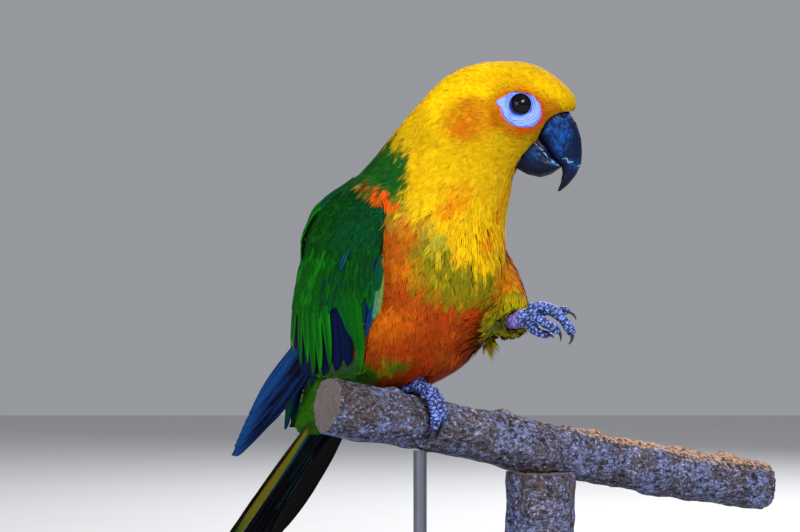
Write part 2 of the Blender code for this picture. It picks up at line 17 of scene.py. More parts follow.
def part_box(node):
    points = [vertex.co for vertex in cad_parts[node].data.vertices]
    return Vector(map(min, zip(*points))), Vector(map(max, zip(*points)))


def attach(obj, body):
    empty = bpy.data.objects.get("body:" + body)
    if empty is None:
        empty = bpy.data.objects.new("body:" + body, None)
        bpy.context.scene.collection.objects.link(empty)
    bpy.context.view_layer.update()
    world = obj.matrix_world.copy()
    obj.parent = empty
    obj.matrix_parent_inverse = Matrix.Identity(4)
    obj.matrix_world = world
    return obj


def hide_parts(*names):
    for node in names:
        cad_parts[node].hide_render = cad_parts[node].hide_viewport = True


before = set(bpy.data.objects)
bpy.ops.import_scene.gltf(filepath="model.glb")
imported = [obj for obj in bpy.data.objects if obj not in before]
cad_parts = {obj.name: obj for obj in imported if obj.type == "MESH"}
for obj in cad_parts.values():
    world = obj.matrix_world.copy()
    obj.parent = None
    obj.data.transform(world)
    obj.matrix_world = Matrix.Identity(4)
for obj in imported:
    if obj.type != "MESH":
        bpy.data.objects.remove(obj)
LOG = logging.getLogger("parakeet")
MM = 0.001
FLESH_NODES = ("head", "neck", "trunk", "leg_left", "leg_right", "wing_left", "wing_right")
BILL_NODES = ("bill_upper", "bill_lower")
SHIN_NODES = ("leg_left", "leg_right", "foot_left", "foot_right")
TOES = (1, 2, 3, 4)
RIGHT, LEFT = -1, 1
SIDE_NAMES = {RIGHT: "right", LEFT: "left"}

Array = np.ndarray
Pair = tuple[float, float]
Triple = tuple[float, float, float]


class Hue(Enum):
    """The named colours of the bird and its perch, as a screen shows them."""

    CROWN = (248, 200, 0)
    THROAT = (210, 168, 4)
    CHEEK = (206, 122, 8)
    RING_EDGE = (248, 84, 2)
    PATCH = (200, 102, 6)
    OLIVE = (116, 110, 10)
    SAGE = (118, 132, 46)
    BELLY = (152, 58, 6)
    BELLY_LOW = (140, 40, 4)
    FLANK = (182, 54, 6)
    MANTLE = (22, 84, 20)
    MANTLE_TEAL = (8, 62, 44)
    RUMP = (150, 74, 12)
    VENT = (44, 100, 10)
    SHANK = (168, 160, 14)
    BEND = (224, 80, 10)
    BEND_YELLOW = (240, 190, 60)
    WING = (3, 84, 8)
    WING_BRIGHT = (14, 116, 10)
    WING_TEAL = (3, 68, 44)
    WING_DARK = (2, 58, 14)
    WING_BLUE = (6, 44, 104)
    TEAL_EDGE = (70, 128, 104)
    NAVY = (4, 20, 62)
    ROYAL = (10, 62, 122)
    INK = (8, 10, 26)
    TAIL_OLIVE = (136, 126, 8)
    TAIL_TEAL = (8, 84, 84)
    TAIL_DARK = (22, 20, 18)
    RING_SKIN = (124, 152, 240)
    RING_SHADE = (78, 98, 204)
    LID = (14, 16, 44)
    HORN = (1, 15, 44)
    HORN_LIGHT = (6, 66, 140)
    HORN_PALE = (140, 176, 214)
    HORN_DARK = (4, 8, 24)
    SCUTE = (92, 122, 204)
    SCUTE_DARK = (8, 20, 64)
    SHIN = (140, 108, 200)
    CLAW = (16, 18, 34)
    CLAW_TIP = (84, 80, 92)
    BARK = (78, 74, 86)
    BARK_BLUE = (100, 116, 166)
    BARK_BROWN = (74, 58, 50)
    BARK_DARK = (22, 20, 28)
    BARK_TAN = (190, 146, 108)
    BARK_PALE = (170, 184, 224)
    WOOD = (112, 102, 102)
    FLOOR = (206, 206, 207)
    FLOOR_SHADE = (196, 196, 198)

    def linear(self) -> Array:
        """The colour in linear light."""
        share = np.array(self.value) / 255
        return np.where(share <= 0.04045, share / 12.92, ((share + 0.055) / 1.055) ** 2.4)


Tints = tuple[Hue, Hue, Hue]


class Place:
    """A place and heading that parts of the bird are measured in, in millimetres."""

    def __init__(self, matrix: Matrix) -> None:
        """Keeps the place, by the matrix that leads from it, in metres, to the world."""
        self.matrix = matrix
        self.turn = np.array(matrix.to_3x3())
        self.start = np.array(matrix.translation)

    def inside(self, points: Array) -> Array:
        """World points, in metres, as millimetres in this place."""
        return (np.asarray(points) - self.start) @ self.turn / MM

    def outside(self, points: Array) -> Array:
        """Points in millimetres in this place as world points, in metres."""
        return np.asarray(points, float) @ self.turn.T * MM + self.start

    def turned(self, directions: Array) -> Array:
        """Directions of this place as world directions."""
        return np.asarray(directions, float) @ self.turn.T

    def turned_in(self, directions: Array) -> Array:
        """World directions as directions of this place."""
        return np.asarray(directions, float) @ self.turn


ANKLE = Vector((-29, -7, 128)) * MM
BODY_YAW = math.radians(-42)
HEAD_TURN = math.radians(34)
HEAD_CENTRE = Vector((49.4, 11.1, 105.5)) * MM
TAIL_ROOT = Vector((-29, -4, -2)) * MM
TAIL_FROM_UPRIGHT = math.radians(42)
BIRD = Place(Matrix.Translation(ANKLE) @ Matrix.Rotation(BODY_YAW, 4, "Z"))
HEAD = Place(BIRD.matrix @ Matrix.Translation(HEAD_CENTRE) @ Matrix.Rotation(HEAD_TURN, 4, "Z"))
# The tail's own frame: x along it, y to the bird's right, z out of its upper side.
TAIL = Place(
    BIRD.matrix
    @ Matrix.Translation(TAIL_ROOT)
    @ Matrix.Rotation(math.radians(90) + TAIL_FROM_UPRIGHT, 4, "Y")
    @ Matrix.Rotation(math.pi, 4, "X")
)
# The ends of the feathered shanks, in mm in the bird's frame.
KNEE = np.array((38.0, 15.5, 25.0))
STANDING_SHANK = np.array((-0.8, 0.0, 4.0))
EYE = np.array((-0.6, 9.6, -1.8))
EYE_RADIUS = 5.2


def smooth(low: float, high: float, value: Array) -> Array:
    """A soft step from 0 where value is low to 1 where it is high."""
    share = np.clip((np.asarray(value, float) - low) / (high - low), 0, 1)
    return share * share * (3 - 2 * share)


def mixed(first: Array, second: Array, weight: Array) -> Array:
    """Rows between two colours or points."""
    weight = np.asarray(weight, float)[..., None]
    return first * (1 - weight) + second * weight


def painted(colour: Array, *layers: "tuple[Hue, Array]") -> Array:
    """Colours with others laid over them in turn, each by its own weights."""
    for hue, weight in layers:
        colour = mixed(colour, hue.linear(), weight)
    return colour


def unit(vectors: Array) -> Array:
    """Rows scaled to length 1."""
    return vectors / np.maximum(np.linalg.norm(vectors, axis=-1, keepdims=True), 1e-12)


def noise(points: Array, size: float, seed: int = 0) -> Array:
    """Smooth noise between -1 and 1 over points, in cells of that size."""
    cells = np.asarray(points) / size
    corner = np.floor(cells).astype(np.int64)
    part = cells - corner
    part = part * part * (3 - 2 * part)
    total = np.zeros(len(cells))
    for step in itertools.product((0, 1), repeat=3):
        at = corner + step
        key = at[:, 0] * 73856093 ^ at[:, 1] * 19349663 ^ at[:, 2] * 83492791 ^ (seed + 1) * 374761393
        key = (key ^ (key >> 13)) * 1274126177
        value = ((key ^ (key >> 16)) & 0xFFFF) / 0x7FFF - 1
        total += value * np.prod(np.where(step, part, 1 - part), axis=1)
    return total


def seeded(seed: int) -> np.random.Generator:
    """A dataclass field with a random generator of its own for each object."""
    return field(default_factory=lambda: np.random.default_rng(seed))


class Wire:
    """A value, vector or colour in a material's nodes. Its operators add Math nodes."""

    def __init__(self, shader: "Shader", socket: bpy.types.NodeSocket) -> None:
        """Wraps an output socket of one of the shader's nodes."""
        self.shader = shader
        self.socket = socket

    def math(self, operation: str, *terms: "Wire | float") -> "Wire":
        """A Math node over these terms."""
        return self.shader.node("ShaderNodeMath", {"operation": operation}, dict(enumerate(terms)))

    def __add__(self, other: "Wire | float") -> "Wire":
        """The sum."""
        return self.math("ADD", self, other)

    def __sub__(self, other: "Wire | float") -> "Wire":
        """The difference."""
        return self.math("SUBTRACT", self, other)

    def __rsub__(self, other: float) -> "Wire":
        """The difference from a number."""
        return self.math("SUBTRACT", other, self)

    def __mul__(self, other: "Wire | float") -> "Wire":
        """The product."""
        return self.math("MULTIPLY", self, other)

    __radd__ = __add__
    __rmul__ = __mul__

    def sine(self) -> "Wire":
        """The sine of a value in radians."""
        return self.math("SINE", self)

    def size(self) -> "Wire":
        """The value without its sign."""
        return self.math("ABSOLUTE", self)

    def stepped(self, low: float, high: float) -> "Wire":
        """A soft step from 0 at low to 1 at high."""
        settings = {"interpolation_type": "SMOOTHSTEP"}
        ends = {"Value": self, "From Min": low, "From Max": high}
        return self.shader.node("ShaderNodeMapRange", settings, ends)

    def parts(self) -> "tuple[Wire, Wire, Wire]":
        """The three numbers of a vector."""
        return tuple(
            self.shader.node("ShaderNodeSeparateXYZ", {}, {"Vector": self}, axis) for axis in "XYZ"
        )


class Shader:
    """One material and the nodes that make its finish."""

    def __init__(self, name: str, **fixed: float) -> None:
        """Starts a Principled material.

        Args:
            name: the material's name.
            fixed: numbers set straight on the shader's sockets, with _ for a space.
        """
        self.material = bpy.data.materials.new(name)
        self.material.use_nodes = True
        self.tree = self.material.node_tree
        self.surface = self.tree.nodes["Principled BSDF"]
        for name, value in fixed.items():
            socket = name.replace("_", " ").title().replace("Ior", "IOR")
            self.surface.inputs[socket].default_value = value

    def node(self, kind: str, settings: dict, inputs: dict, output: "str | int" = 0) -> Wire:
        """Adds a node.

        Args:
            kind: the node's type.
            settings: its settings, which are set first.
            inputs: values or wires of its sockets, by name or number.
            output: which of its outputs is wanted.

        Returns:
            The wire from that output.
        """
        made = self.tree.nodes.new(kind)
        for setting, value in settings.items():
            setattr(made, setting, value)
        for socket, value in inputs.items():
            if isinstance(value, Wire):
                self.tree.links.new(value.socket, made.inputs[socket])
            else:
                made.inputs[socket].default_value = value
        return Wire(self, made.outputs[output])

    def attribute(self, name: str, output: str = "Vector") -> Wire:
        """An attribute of the piece."""
        return self.node("ShaderNodeAttribute", {"attribute_name": name}, {}, output)

    def place(self, stretch: Triple = (1, 1, 1), turn: float = 0.0) -> Wire:
        """Object coordinates in millimetres, turned about Z and stretched."""
        own = self.node("ShaderNodeTexCoord", {}, {}, "Object")
        scale = tuple(part / MM for part in stretch)
        return self.node(
            "ShaderNodeMapping", {}, {"Vector": own, "Scale": scale, "Rotation": (0, 0, turn)}
        )

    def grain(self, where: Wire, scale: float, detail: float = 4.0, rough: float = 0.6) -> Wire:
        """Noise from 0 to 1, with scale cells for each millimetre."""
        inputs = {"Vector": where, "Scale": scale, "Detail": detail, "Roughness": rough}
        return self.node("ShaderNodeTexNoise", {}, inputs)

    def mix(self, first: "Wire | Hue", second: "Wire | Hue", factor: "Wire | float") -> Wire:
        """A colour between two colours."""
        ends = [(*end.linear(), 1.0) if isinstance(end, Hue) else end for end in (first, second)]
        inputs = {0: factor, 6: ends[0], 7: ends[1]}
        return self.node("ShaderNodeMix", {"data_type": "RGBA"}, inputs, 2)

    def toned(self, colour: Wire, light: "Wire | float") -> Wire:
        """A colour made lighter or darker by a value."""
        grey = self.node("ShaderNodeCombineXYZ", {}, {"X": light, "Y": light, "Z": light})
        return self.node("ShaderNodeVectorMath", {"operation": "MULTIPLY"}, {0: colour, 1: grey})

    def finish(self, colour: Wire, roughness: "Wire | None" = None, height: "Wire | None" = None,
               depth: float = 0.1, coat: "Wire | None" = None) -> bpy.types.Material:
        """Joins the finish to the surface.

        Args:
            colour: its colour.
            roughness: how rough it is, where that varies.
            height: what stands proud of it, from 0 to 1.
            depth: how far, in millimetres.
            coat: how much clear coat it has, where that varies.

        Returns:
            The material.
        """
        links = {"Base Color": colour, "Roughness": roughness, "Coat Weight": coat}
        if height:
            links["Normal"] = self.node(
                "ShaderNodeBump", {}, {"Height": height, "Distance": depth * MM, "Strength": 1.0}
            )
        for socket, wire in links.items():
            if wire:
                self.tree.links.new(wire.socket, self.surface.inputs[socket])
        return self.material


@dataclass(frozen=True)
class PlumageFinish:
    """Feathers: their own tint, streaked along the barbs, with painted shade at the roots and painted
    light at the tips.
    """

    name: str
    barbs: float = 9.0
    roughness: float = 0.7
    specular: float = 0.06
    root_light: float = 0.68
    painted_tip_light: float = 1.22

    def material(self) -> bpy.types.Material:
        """Builds the material, which reads the attributes tint and vane (across, along, chance)."""
        shader = Shader(self.name, roughness=self.roughness, specular_ior_level=self.specular)
        across, along, chance = shader.attribute("vane").parts()
        where = shader.place()
        mottle = shader.grain(where, 0.55, 3.0)
        barb = ((across * 5.0 + along * 1.3 + chance * 40.0) * self.barbs).sine() * 0.5 + 0.5
        # Painted shade at each feather's root, rising to painted light at its tip.
        light = along.stepped(0.0, 0.85) * (self.painted_tip_light - self.root_light) + self.root_light
        light = light * (0.86 + chance * 0.2) * (barb * 0.16 + 0.86) * (mottle * 0.3 + 0.86)
        colour = shader.toned(shader.attribute("tint", "Color"), light)
        return shader.finish(colour, height=barb, depth=0.06)


@dataclass(frozen=True)
class VaneFinish:
    """Long feathers: fine slanting barbs either side of a shaft, with a slight gloss."""

    name: str
    roughness: float = 0.6

    def material(self) -> bpy.types.Material:
        """Builds the material, which reads tint and vane (across and along in mm, chance)."""
        shader = Shader(self.name, roughness=self.roughness, specular_ior_level=0.04)
        across, along, chance = shader.attribute("vane").parts()
        slant = along - across.size() * 1.7
        uneven = shader.grain(shader.attribute("vane"), 0.5, 3.0)
        barb = (slant * 8.5 + chance * 30.0 + uneven * 5.0).sine() * 0.5 + 0.5
        broad = (slant * 1.9 + chance * 70.0 + uneven * 9.0).sine() * 0.5 + 0.5
        light = (barb * 0.2 + 0.84) * (broad * 0.16 + 0.9) * (uneven * 0.35 + 0.84)
        colour = shader.toned(shader.attribute("tint", "Color"), light)
        return shader.finish(colour, height=barb, depth=0.08)


@dataclass(frozen=True)
class SkinFinish:
    """Skin under the plumage and bare round the eye, with the same markings as the coat, and painted
    shade where it lies under the plumage.
    """

    name: str = "bird_skin"

    def material(self) -> bpy.types.Material:
        """Builds the material, which reads the attributes tint and bare."""
        shader = Shader(self.name, specular_ior_level=0.2)
        where = shader.place()
        fine = shader.grain(where, 2.2, 5.0)
        down = shader.grain(where, 0.9, 4.0)
        bare = shader.attribute("bare", "Fac")
        # Under the plumage the skin is painted darker, as painted shade under the feathers, with a fine
        # grain.
        light = bare * (fine * 0.5 + 0.78) + (1 - bare) * (down * 0.4 + 0.5)
        colour = shader.toned(shader.attribute("tint", "Color"), light)
        return shader.finish(colour, 0.62 - bare * 0.14, fine, 0.1)


@dataclass(frozen=True)
class EyeFinish:
    """A dark brown iris round a black pupil, under a clear cornea."""

    name: str = "eye_gloss"

    def material(self) -> bpy.types.Material:
        """Builds the material, which reads the attribute iris (mm from the middle, turn, ahead)."""
        shader = Shader(
            self.name, roughness=0.5, specular_ior_level=0.02, coat_weight=0.6, coat_roughness=0.02,
            coat_ior=1.33,
        )
        across, turn, _ = shader.attribute("iris").parts()
        rays = shader.grain(shader.attribute("iris"), 1.6, 4.0)
        iris = across.stepped(1.7, 1.95) * (1 - across.stepped(3.3, 3.9))
        brown = shader.mix(Hue.BARK_DARK, Hue.BARK_BROWN, rays * 0.5)
        colour = shader.mix(Hue.INK, brown, iris * 0.25)
        colour = shader.toned(colour, 0.25 + turn * 0.02)
        return shader.finish(colour)


@dataclass(frozen=True)
class HornFinish:
    """Bill horn: dark, streaked and scuffed pale where its layers flake."""

    name: str = "bill_horn"

    def material(self) -> bpy.types.Material:
        """Builds the material, which reads a vector attribute of flaking, painted highlight and painted
        shade.
        """
        shader = Shader(self.name, specular_ior_level=0.08, coat_roughness=0.25)
        flaking, light, dark = shader.attribute("flaking_and_painted_light").parts()
        streaks = shader.grain(shader.place((0.5, 1.0, 0.28), -BODY_YAW - HEAD_TURN), 1.6, 6.0, 0.7)
        scuffs = shader.grain(shader.place(), 1.1, 8.0, 0.75)
        # Painted highlight from the attribute's second value, over the horn's own light streaks.
        bright = light * (streaks.stepped(0.36, 0.64) * 0.75 + 0.25) + streaks.stepped(0.45, 0.7) * 0.3
        colour = shader.mix(Hue.HORN, Hue.HORN_LIGHT, bright.stepped(0.0, 1.0))
        flakes = (flaking * 0.8 + (scuffs - 0.5) * 2.2).stepped(0.4, 0.85)
        colour = shader.mix(colour, Hue.HORN_PALE, flakes * 0.75)
        # Painted shade from the attribute's third value, with dark streaks.
        shade = (dark + streaks.stepped(0.62, 0.9) * 0.3).stepped(0.0, 1.0)
        colour = shader.mix(colour, Hue.HORN_DARK, shade)
        height = streaks * 0.6 + scuffs * 0.4 + flakes * 0.5
        roughness = 0.4 + flakes * 0.3 + scuffs * 0.14
        return shader.finish(colour, roughness, height, 0.35, 0.1 - flakes * 0.1)


@dataclass(frozen=True)
class FootFinish:
    """Scaled skin: pale raised scutes with dark skin in the grooves."""

    name: str = "foot_skin"

    def material(self) -> bpy.types.Material:
        """Builds the material, which reads the attribute scale (groove, shin, chance)."""
        shader = Shader(self.name, specular_ior_level=0.45)
        groove, shin, chance = shader.attribute("scale").parts()
        fine = shader.grain(shader.place(), 3.0, 4.0)
        pale = shader.mix(Hue.SCUTE, Hue.SHIN, shin * 0.8 + chance * 0.12)
        pale = shader.toned(pale, (chance * 0.7 + 0.55) * (fine * 0.5 + 0.75))
        colour = shader.mix(pale, Hue.SCUTE_DARK, groove.stepped(0.15, 0.75) * (1 - shin * 0.45))
        return shader.finish(colour, 0.46 + groove * 0.25, fine, 0.06)


@dataclass(frozen=True)
class ClawFinish:
    """Near-black claws, streaked paler."""

    name: str = "claw_horn"

    def material(self) -> bpy.types.Material:
        """Builds the material."""
        shader = Shader(self.name, specular_ior_level=0.5, coat_weight=0.3, coat_roughness=0.25)
        streaks = shader.grain(shader.place(), 1.4, 6.0, 0.7)
        colour = shader.mix(Hue.CLAW, Hue.CLAW_TIP, streaks.stepped(0.55, 0.85) * 0.6)
        return shader.finish(colour, 0.3 + streaks * 0.3, streaks, 0.06)


@dataclass(frozen=True)
class BarkFinish:
    """Weathered bark, with grey plates, brown cracks, tan flakes, and tan on top of the branch's right
    part as painted warm light.
    """

    name: str = "bark"
    turn: float = math.radians(-28.5)

    def material(self) -> bpy.types.Material:
        """Builds the material, which reads the attribute bark (crack, painted light on top with tan
        knots, end grain).
        """
        shader = Shader(self.name, roughness=0.86, specular_ior_level=0.2)
        crack, worn, end = shader.attribute("bark").parts()
        where = shader.place()
        fibres = shader.grain(shader.place((0.35, 1.0, 1.0), self.turn), 0.9, 6.0, 0.7)
        regions = shader.grain(where, 0.06, 3.0, 0.6)
        patches = shader.grain(where, 0.25, 6.0, 0.7)
        flecks = shader.grain(where, 0.75, 6.0, 0.75)
        grit = shader.grain(where, 2.2, 4.0, 0.7)
        brown = (patches * 0.6 + regions * 0.4).stepped(0.48, 0.56)
        blue = (flecks * 0.4 + fibres * 0.2 + patches * 0.2 + (1 - regions) * 0.2).stepped(0.49, 0.56)
        dark = (fibres * 0.6 + patches * 0.4).stepped(0.5, 0.44)
        # Tan from painted warm light on the top faces, on the knots and in random flakes.
        tan = (worn * 0.8 + (flecks - 0.5) * 3.6 + (fibres - 0.5) * 2.4).stepped(0.4, 1.0)
        specks = flecks * 0.5 + grit * 0.5
        colour = shader.mix(Hue.BARK, Hue.BARK_BROWN, brown * 0.8)
        colour = shader.mix(colour, Hue.BARK_BLUE, blue)
        colour = shader.mix(colour, Hue.BARK_DARK, dark * 0.85)
        colour = shader.mix(colour, Hue.BARK_TAN, tan * 0.85)
        colour = shader.mix(colour, Hue.BARK_PALE, specks.stepped(0.55, 0.62) * 0.75)
        wood = shader.mix(Hue.WOOD, Hue.BARK_BROWN, grit.stepped(0.45, 0.6) * 0.6)
        colour = shader.mix(colour, wood, end.stepped(0.4, 0.6))
        pits = specks.stepped(0.46, 0.4)
        colour = shader.mix(colour, Hue.BARK_DARK, (crack * 0.8 + pits * 0.9).stepped(0.1, 0.95))
        return shader.finish(colour, height=flecks * 0.6 + fibres * 0.6 + grit * 0.4, depth=0.6)


@dataclass(frozen=True)
class MetalFinish:
    """Brushed steel of the display stand."""

    name: str = "stand_metal"

    def material(self) -> bpy.types.Material:
        """Builds the material."""
        shader = Shader(self.name, metallic=1.0)
        brushed = shader.grain(shader.place((0.02, 1.0, 1.0)), 3.0, 4.0)
        clouds = shader.grain(shader.place(), 0.05, 4.0)
        colour = shader.mix(Hue.BARK, Hue.HORN_PALE, brushed * 0.3 + 0.25)
        colour = shader.mix(colour, Hue.WOOD, 0.6)
        colour = shader.toned(colour, clouds * 0.4 + 0.8)
        return shader.finish(colour, brushed * 0.2 + 0.3, brushed, 0.02)


@dataclass(frozen=True)
class FloorFinish:
    """A plain pale studio floor."""

    name: str = "studio_floor"

    def material(self) -> bpy.types.Material:
        """Builds the material."""
        shader = Shader(self.name, specular_ior_level=0.2)
        speckle = shader.grain(shader.place(), 0.02, 3.0)
        colour = shader.mix(Hue.FLOOR, Hue.FLOOR_SHADE, speckle * 0.4)
        return shader.finish(colour, speckle * 0.1 + 0.75)


def mesh_of(bm: bmesh.types.BMesh, name: str) -> bpy.types.Mesh:
    """A smooth-shaded mesh from a bmesh, which is freed."""
    mesh = bpy.data.meshes.new(name)
    bm.to_mesh(mesh)
    bm.free()
    mesh.shade_smooth()
    return mesh


def points_of(mesh: bpy.types.Mesh, what: str = "co") -> Array:
    """The places of a mesh's vertices, or with "normal" their directions."""
    found = np.empty(len(mesh.vertices) * 3, np.float32)
    if what == "co":
        mesh.vertices.foreach_get("co", found)
    else:
        mesh.vertex_normals.foreach_get("vector", found)
    return found.reshape(-1, 3).astype(float)


def set_points(mesh: bpy.types.Mesh, points: Array) -> None:
    """Moves a mesh's vertices."""
    mesh.vertices.foreach_set("co", points.astype(np.float32).ravel())
    mesh.update()


def push_out(mesh: bpy.types.Mesh, rise: Array) -> None:
    """Moves each vertex of a mesh outwards by its own number of millimetres."""
    set_points(mesh, points_of(mesh) + points_of(mesh, "normal") * (rise * MM)[:, None])


def write(mesh: bpy.types.Mesh, name: str, values: Array) -> None:
    """Keeps a colour (tint), a vector or a number for each vertex."""
    if values.ndim == 1:
        mesh.attributes.new(name, "FLOAT", "POINT").data.foreach_set("value", values.astype(np.float32))
    elif name == "tint":
        full = np.ones((len(values), 4), np.float32)
        full[:, :3] = values
        mesh.attributes.new(name, "FLOAT_COLOR", "POINT").data.foreach_set("color", full.ravel())
    else:
        made = mesh.attributes.new(name, "FLOAT_VECTOR", "POINT")
        made.data.foreach_set("vector", values.astype(np.float32).ravel())


def add_piece(name: str, mesh: bpy.types.Mesh, finish: bpy.types.Material, slot: str,
              *stands_for: str) -> None:
    """Puts a finished piece in the scene, where it rides on the one body.

    Args:
        name: the piece's name.
        mesh: its mesh, in world places.
        finish: its material.
        slot: not used.
        stands_for: the CAD nodes that it replaces.
    """
    mesh.materials.clear()
    mesh.materials.append(finish)
    piece = bpy.data.objects.new(name, mesh)
    bpy.context.scene.collection.objects.link(piece)
    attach(piece, "root")
    if stands_for:
        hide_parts(*stands_for)
    LOG.info("%s: %d faces", name, len(mesh.polygons))


def solids(*nodes: str, grown: float = 0.0) -> bpy.types.Mesh:
    """Copies of CAD solids as one mesh, with their loose triangles joined.

    Args:
        nodes: the CAD nodes.
        grown: how far each is grown, in mm, to close the gaps between them.

    Returns:
        The mesh.
    """
    bm = bmesh.new()
    for node in nodes:
        bm.from_mesh(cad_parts[node].data)
    bmesh.ops.remove_doubles(bm, verts=bm.verts, dist=0.002 * MM)
    bm.normal_update()
    for vert in bm.verts:
        vert.co += vert.normal * (grown * MM)
    return mesh_of(bm, nodes[0])


def with_modifier(mesh: bpy.types.Mesh, kind: str,
                  **settings: "float | int | str | bool") -> bpy.types.Mesh:
    """The mesh as one modifier leaves it."""
    holder = bpy.data.objects.new("holder", mesh)
    bpy.context.scene.collection.objects.link(holder)
    modifier = holder.modifiers.new("shape", kind)
    for setting, value in settings.items():
        setattr(modifier, setting, value)
    graph = bpy.context.evaluated_depsgraph_get()
    made = bpy.data.meshes.new_from_object(holder.evaluated_get(graph))
    bpy.data.objects.remove(holder)
    return made


def remeshed(mesh: bpy.types.Mesh, voxel: float, smoothing: int) -> bpy.types.Mesh:
    """An even mesh over a shape, with its largest body only.

    Args:
        mesh: the shape.
        voxel: how fine the new mesh is, in mm.
        smoothing: how often it is smoothed.

    Returns:
        The new mesh.
    """
    made = with_modifier(mesh, "REMESH", mode="VOXEL", voxel_size=voxel * MM)
    if smoothing:
        made = with_modifier(made, "SMOOTH", factor=0.5, iterations=smoothing)
    bm = bmesh.new()
    bm.from_mesh(made)
    left, bodies = set(bm.verts), []
    while left:
        body, front = set(), [left.pop()]
        while front:
            vert = front.pop()
            body.add(vert)
            for edge in vert.link_edges:
                other = edge.other_vert(vert)
                if other in left:
                    left.remove(other)
                    front.append(other)
        bodies.append(body)
    keep = max(bodies, key=len)
    bmesh.ops.delete(bm, geom=[vert for vert in bm.verts if vert not in keep], context="VERTS")
    bmesh.ops.triangulate(bm, faces=bm.faces)
    return mesh_of(bm, mesh.name)


class Surface:
    """A shape that feathers lie on: its nearest places, directions out of it and random places."""

    def __init__(self, mesh: bpy.types.Mesh) -> None:
        """Reads the shape once."""
        self.points = points_of(mesh)
        self.normals = points_of(mesh, "normal")
        mesh.calc_loop_triangles()
        faces = np.empty(len(mesh.loop_triangles) * 3, np.int32)
        mesh.loop_triangles.foreach_get("vertices", faces)
        self.faces = faces.reshape(-1, 3)
        self.tree = BVHTree.FromPolygons(self.points.tolist(), self.faces.tolist())

    def nearest(self, points: Array) -> "tuple[Array, Array, Array]":
        """The nearest places on the surface, the directions out of it, and how far off they are."""
        found = [self.tree.find_nearest(point) for point in points.tolist()]
        places, index, gaps = (np.array([hit[part] for hit in found]) for part in (0, 2, 3))
        corners = self.faces[index]
        share = 1 / (np.linalg.norm(self.points[corners] - places[:, None], axis=2) + 1e-6)
        normals = unit((self.normals[corners] * share[..., None]).sum(axis=1))
        return places, normals, gaps

    def depth(self, points: Array) -> Array:
        """How far points are outside the surface, in mm; inside it this is negative."""
        places, normals, gaps = self.nearest(points)
        return np.where(((points - places) * normals).sum(axis=1) < 0, -gaps, gaps) / MM

    def scattered(self, count: int, chance: np.random.Generator) -> "tuple[Array, Array]":
        """Random places spread evenly over the surface, and the directions out of it."""
        corners = self.points[self.faces]
        sides = corners[:, 1:] - corners[:, :1]
        area = np.linalg.norm(np.cross(sides[:, 0], sides[:, 1]), axis=1)
        picked = chance.choice(len(area), count, p=area / area.sum())
        first, second = np.sort(chance.random((2, count)), axis=0)
        share = np.stack([first, second - first, 1 - second], axis=1)[..., None]
        places = (corners[picked] * share).sum(axis=1)
        return places, unit((self.normals[self.faces[picked]] * share).sum(axis=1))


def tree_of(points: Array) -> KDTree:
    """A search tree over points."""
    tree = KDTree(len(points))
    for i, point in enumerate(points.tolist()):
        tree.insert(point, i)
    tree.balance()
    return tree


def thinned(points: Array, gaps: Array) -> Array:
    """Which of some points to keep so that none is nearer to another than its own gap.

    Args:
        points: candidates, in random order.
        gaps: how far apart they are, in metres.

    Returns:
        Their numbers.
    """
    tree = tree_of(points)
    free = np.ones(len(points), bool)
    kept = []
    for i, point in enumerate(points.tolist()):
        if free[i]:
            kept.append(i)
            for _, other, _ in tree.find_range(point, gaps[i]):
                free[other] = False
    return np.array(kept)


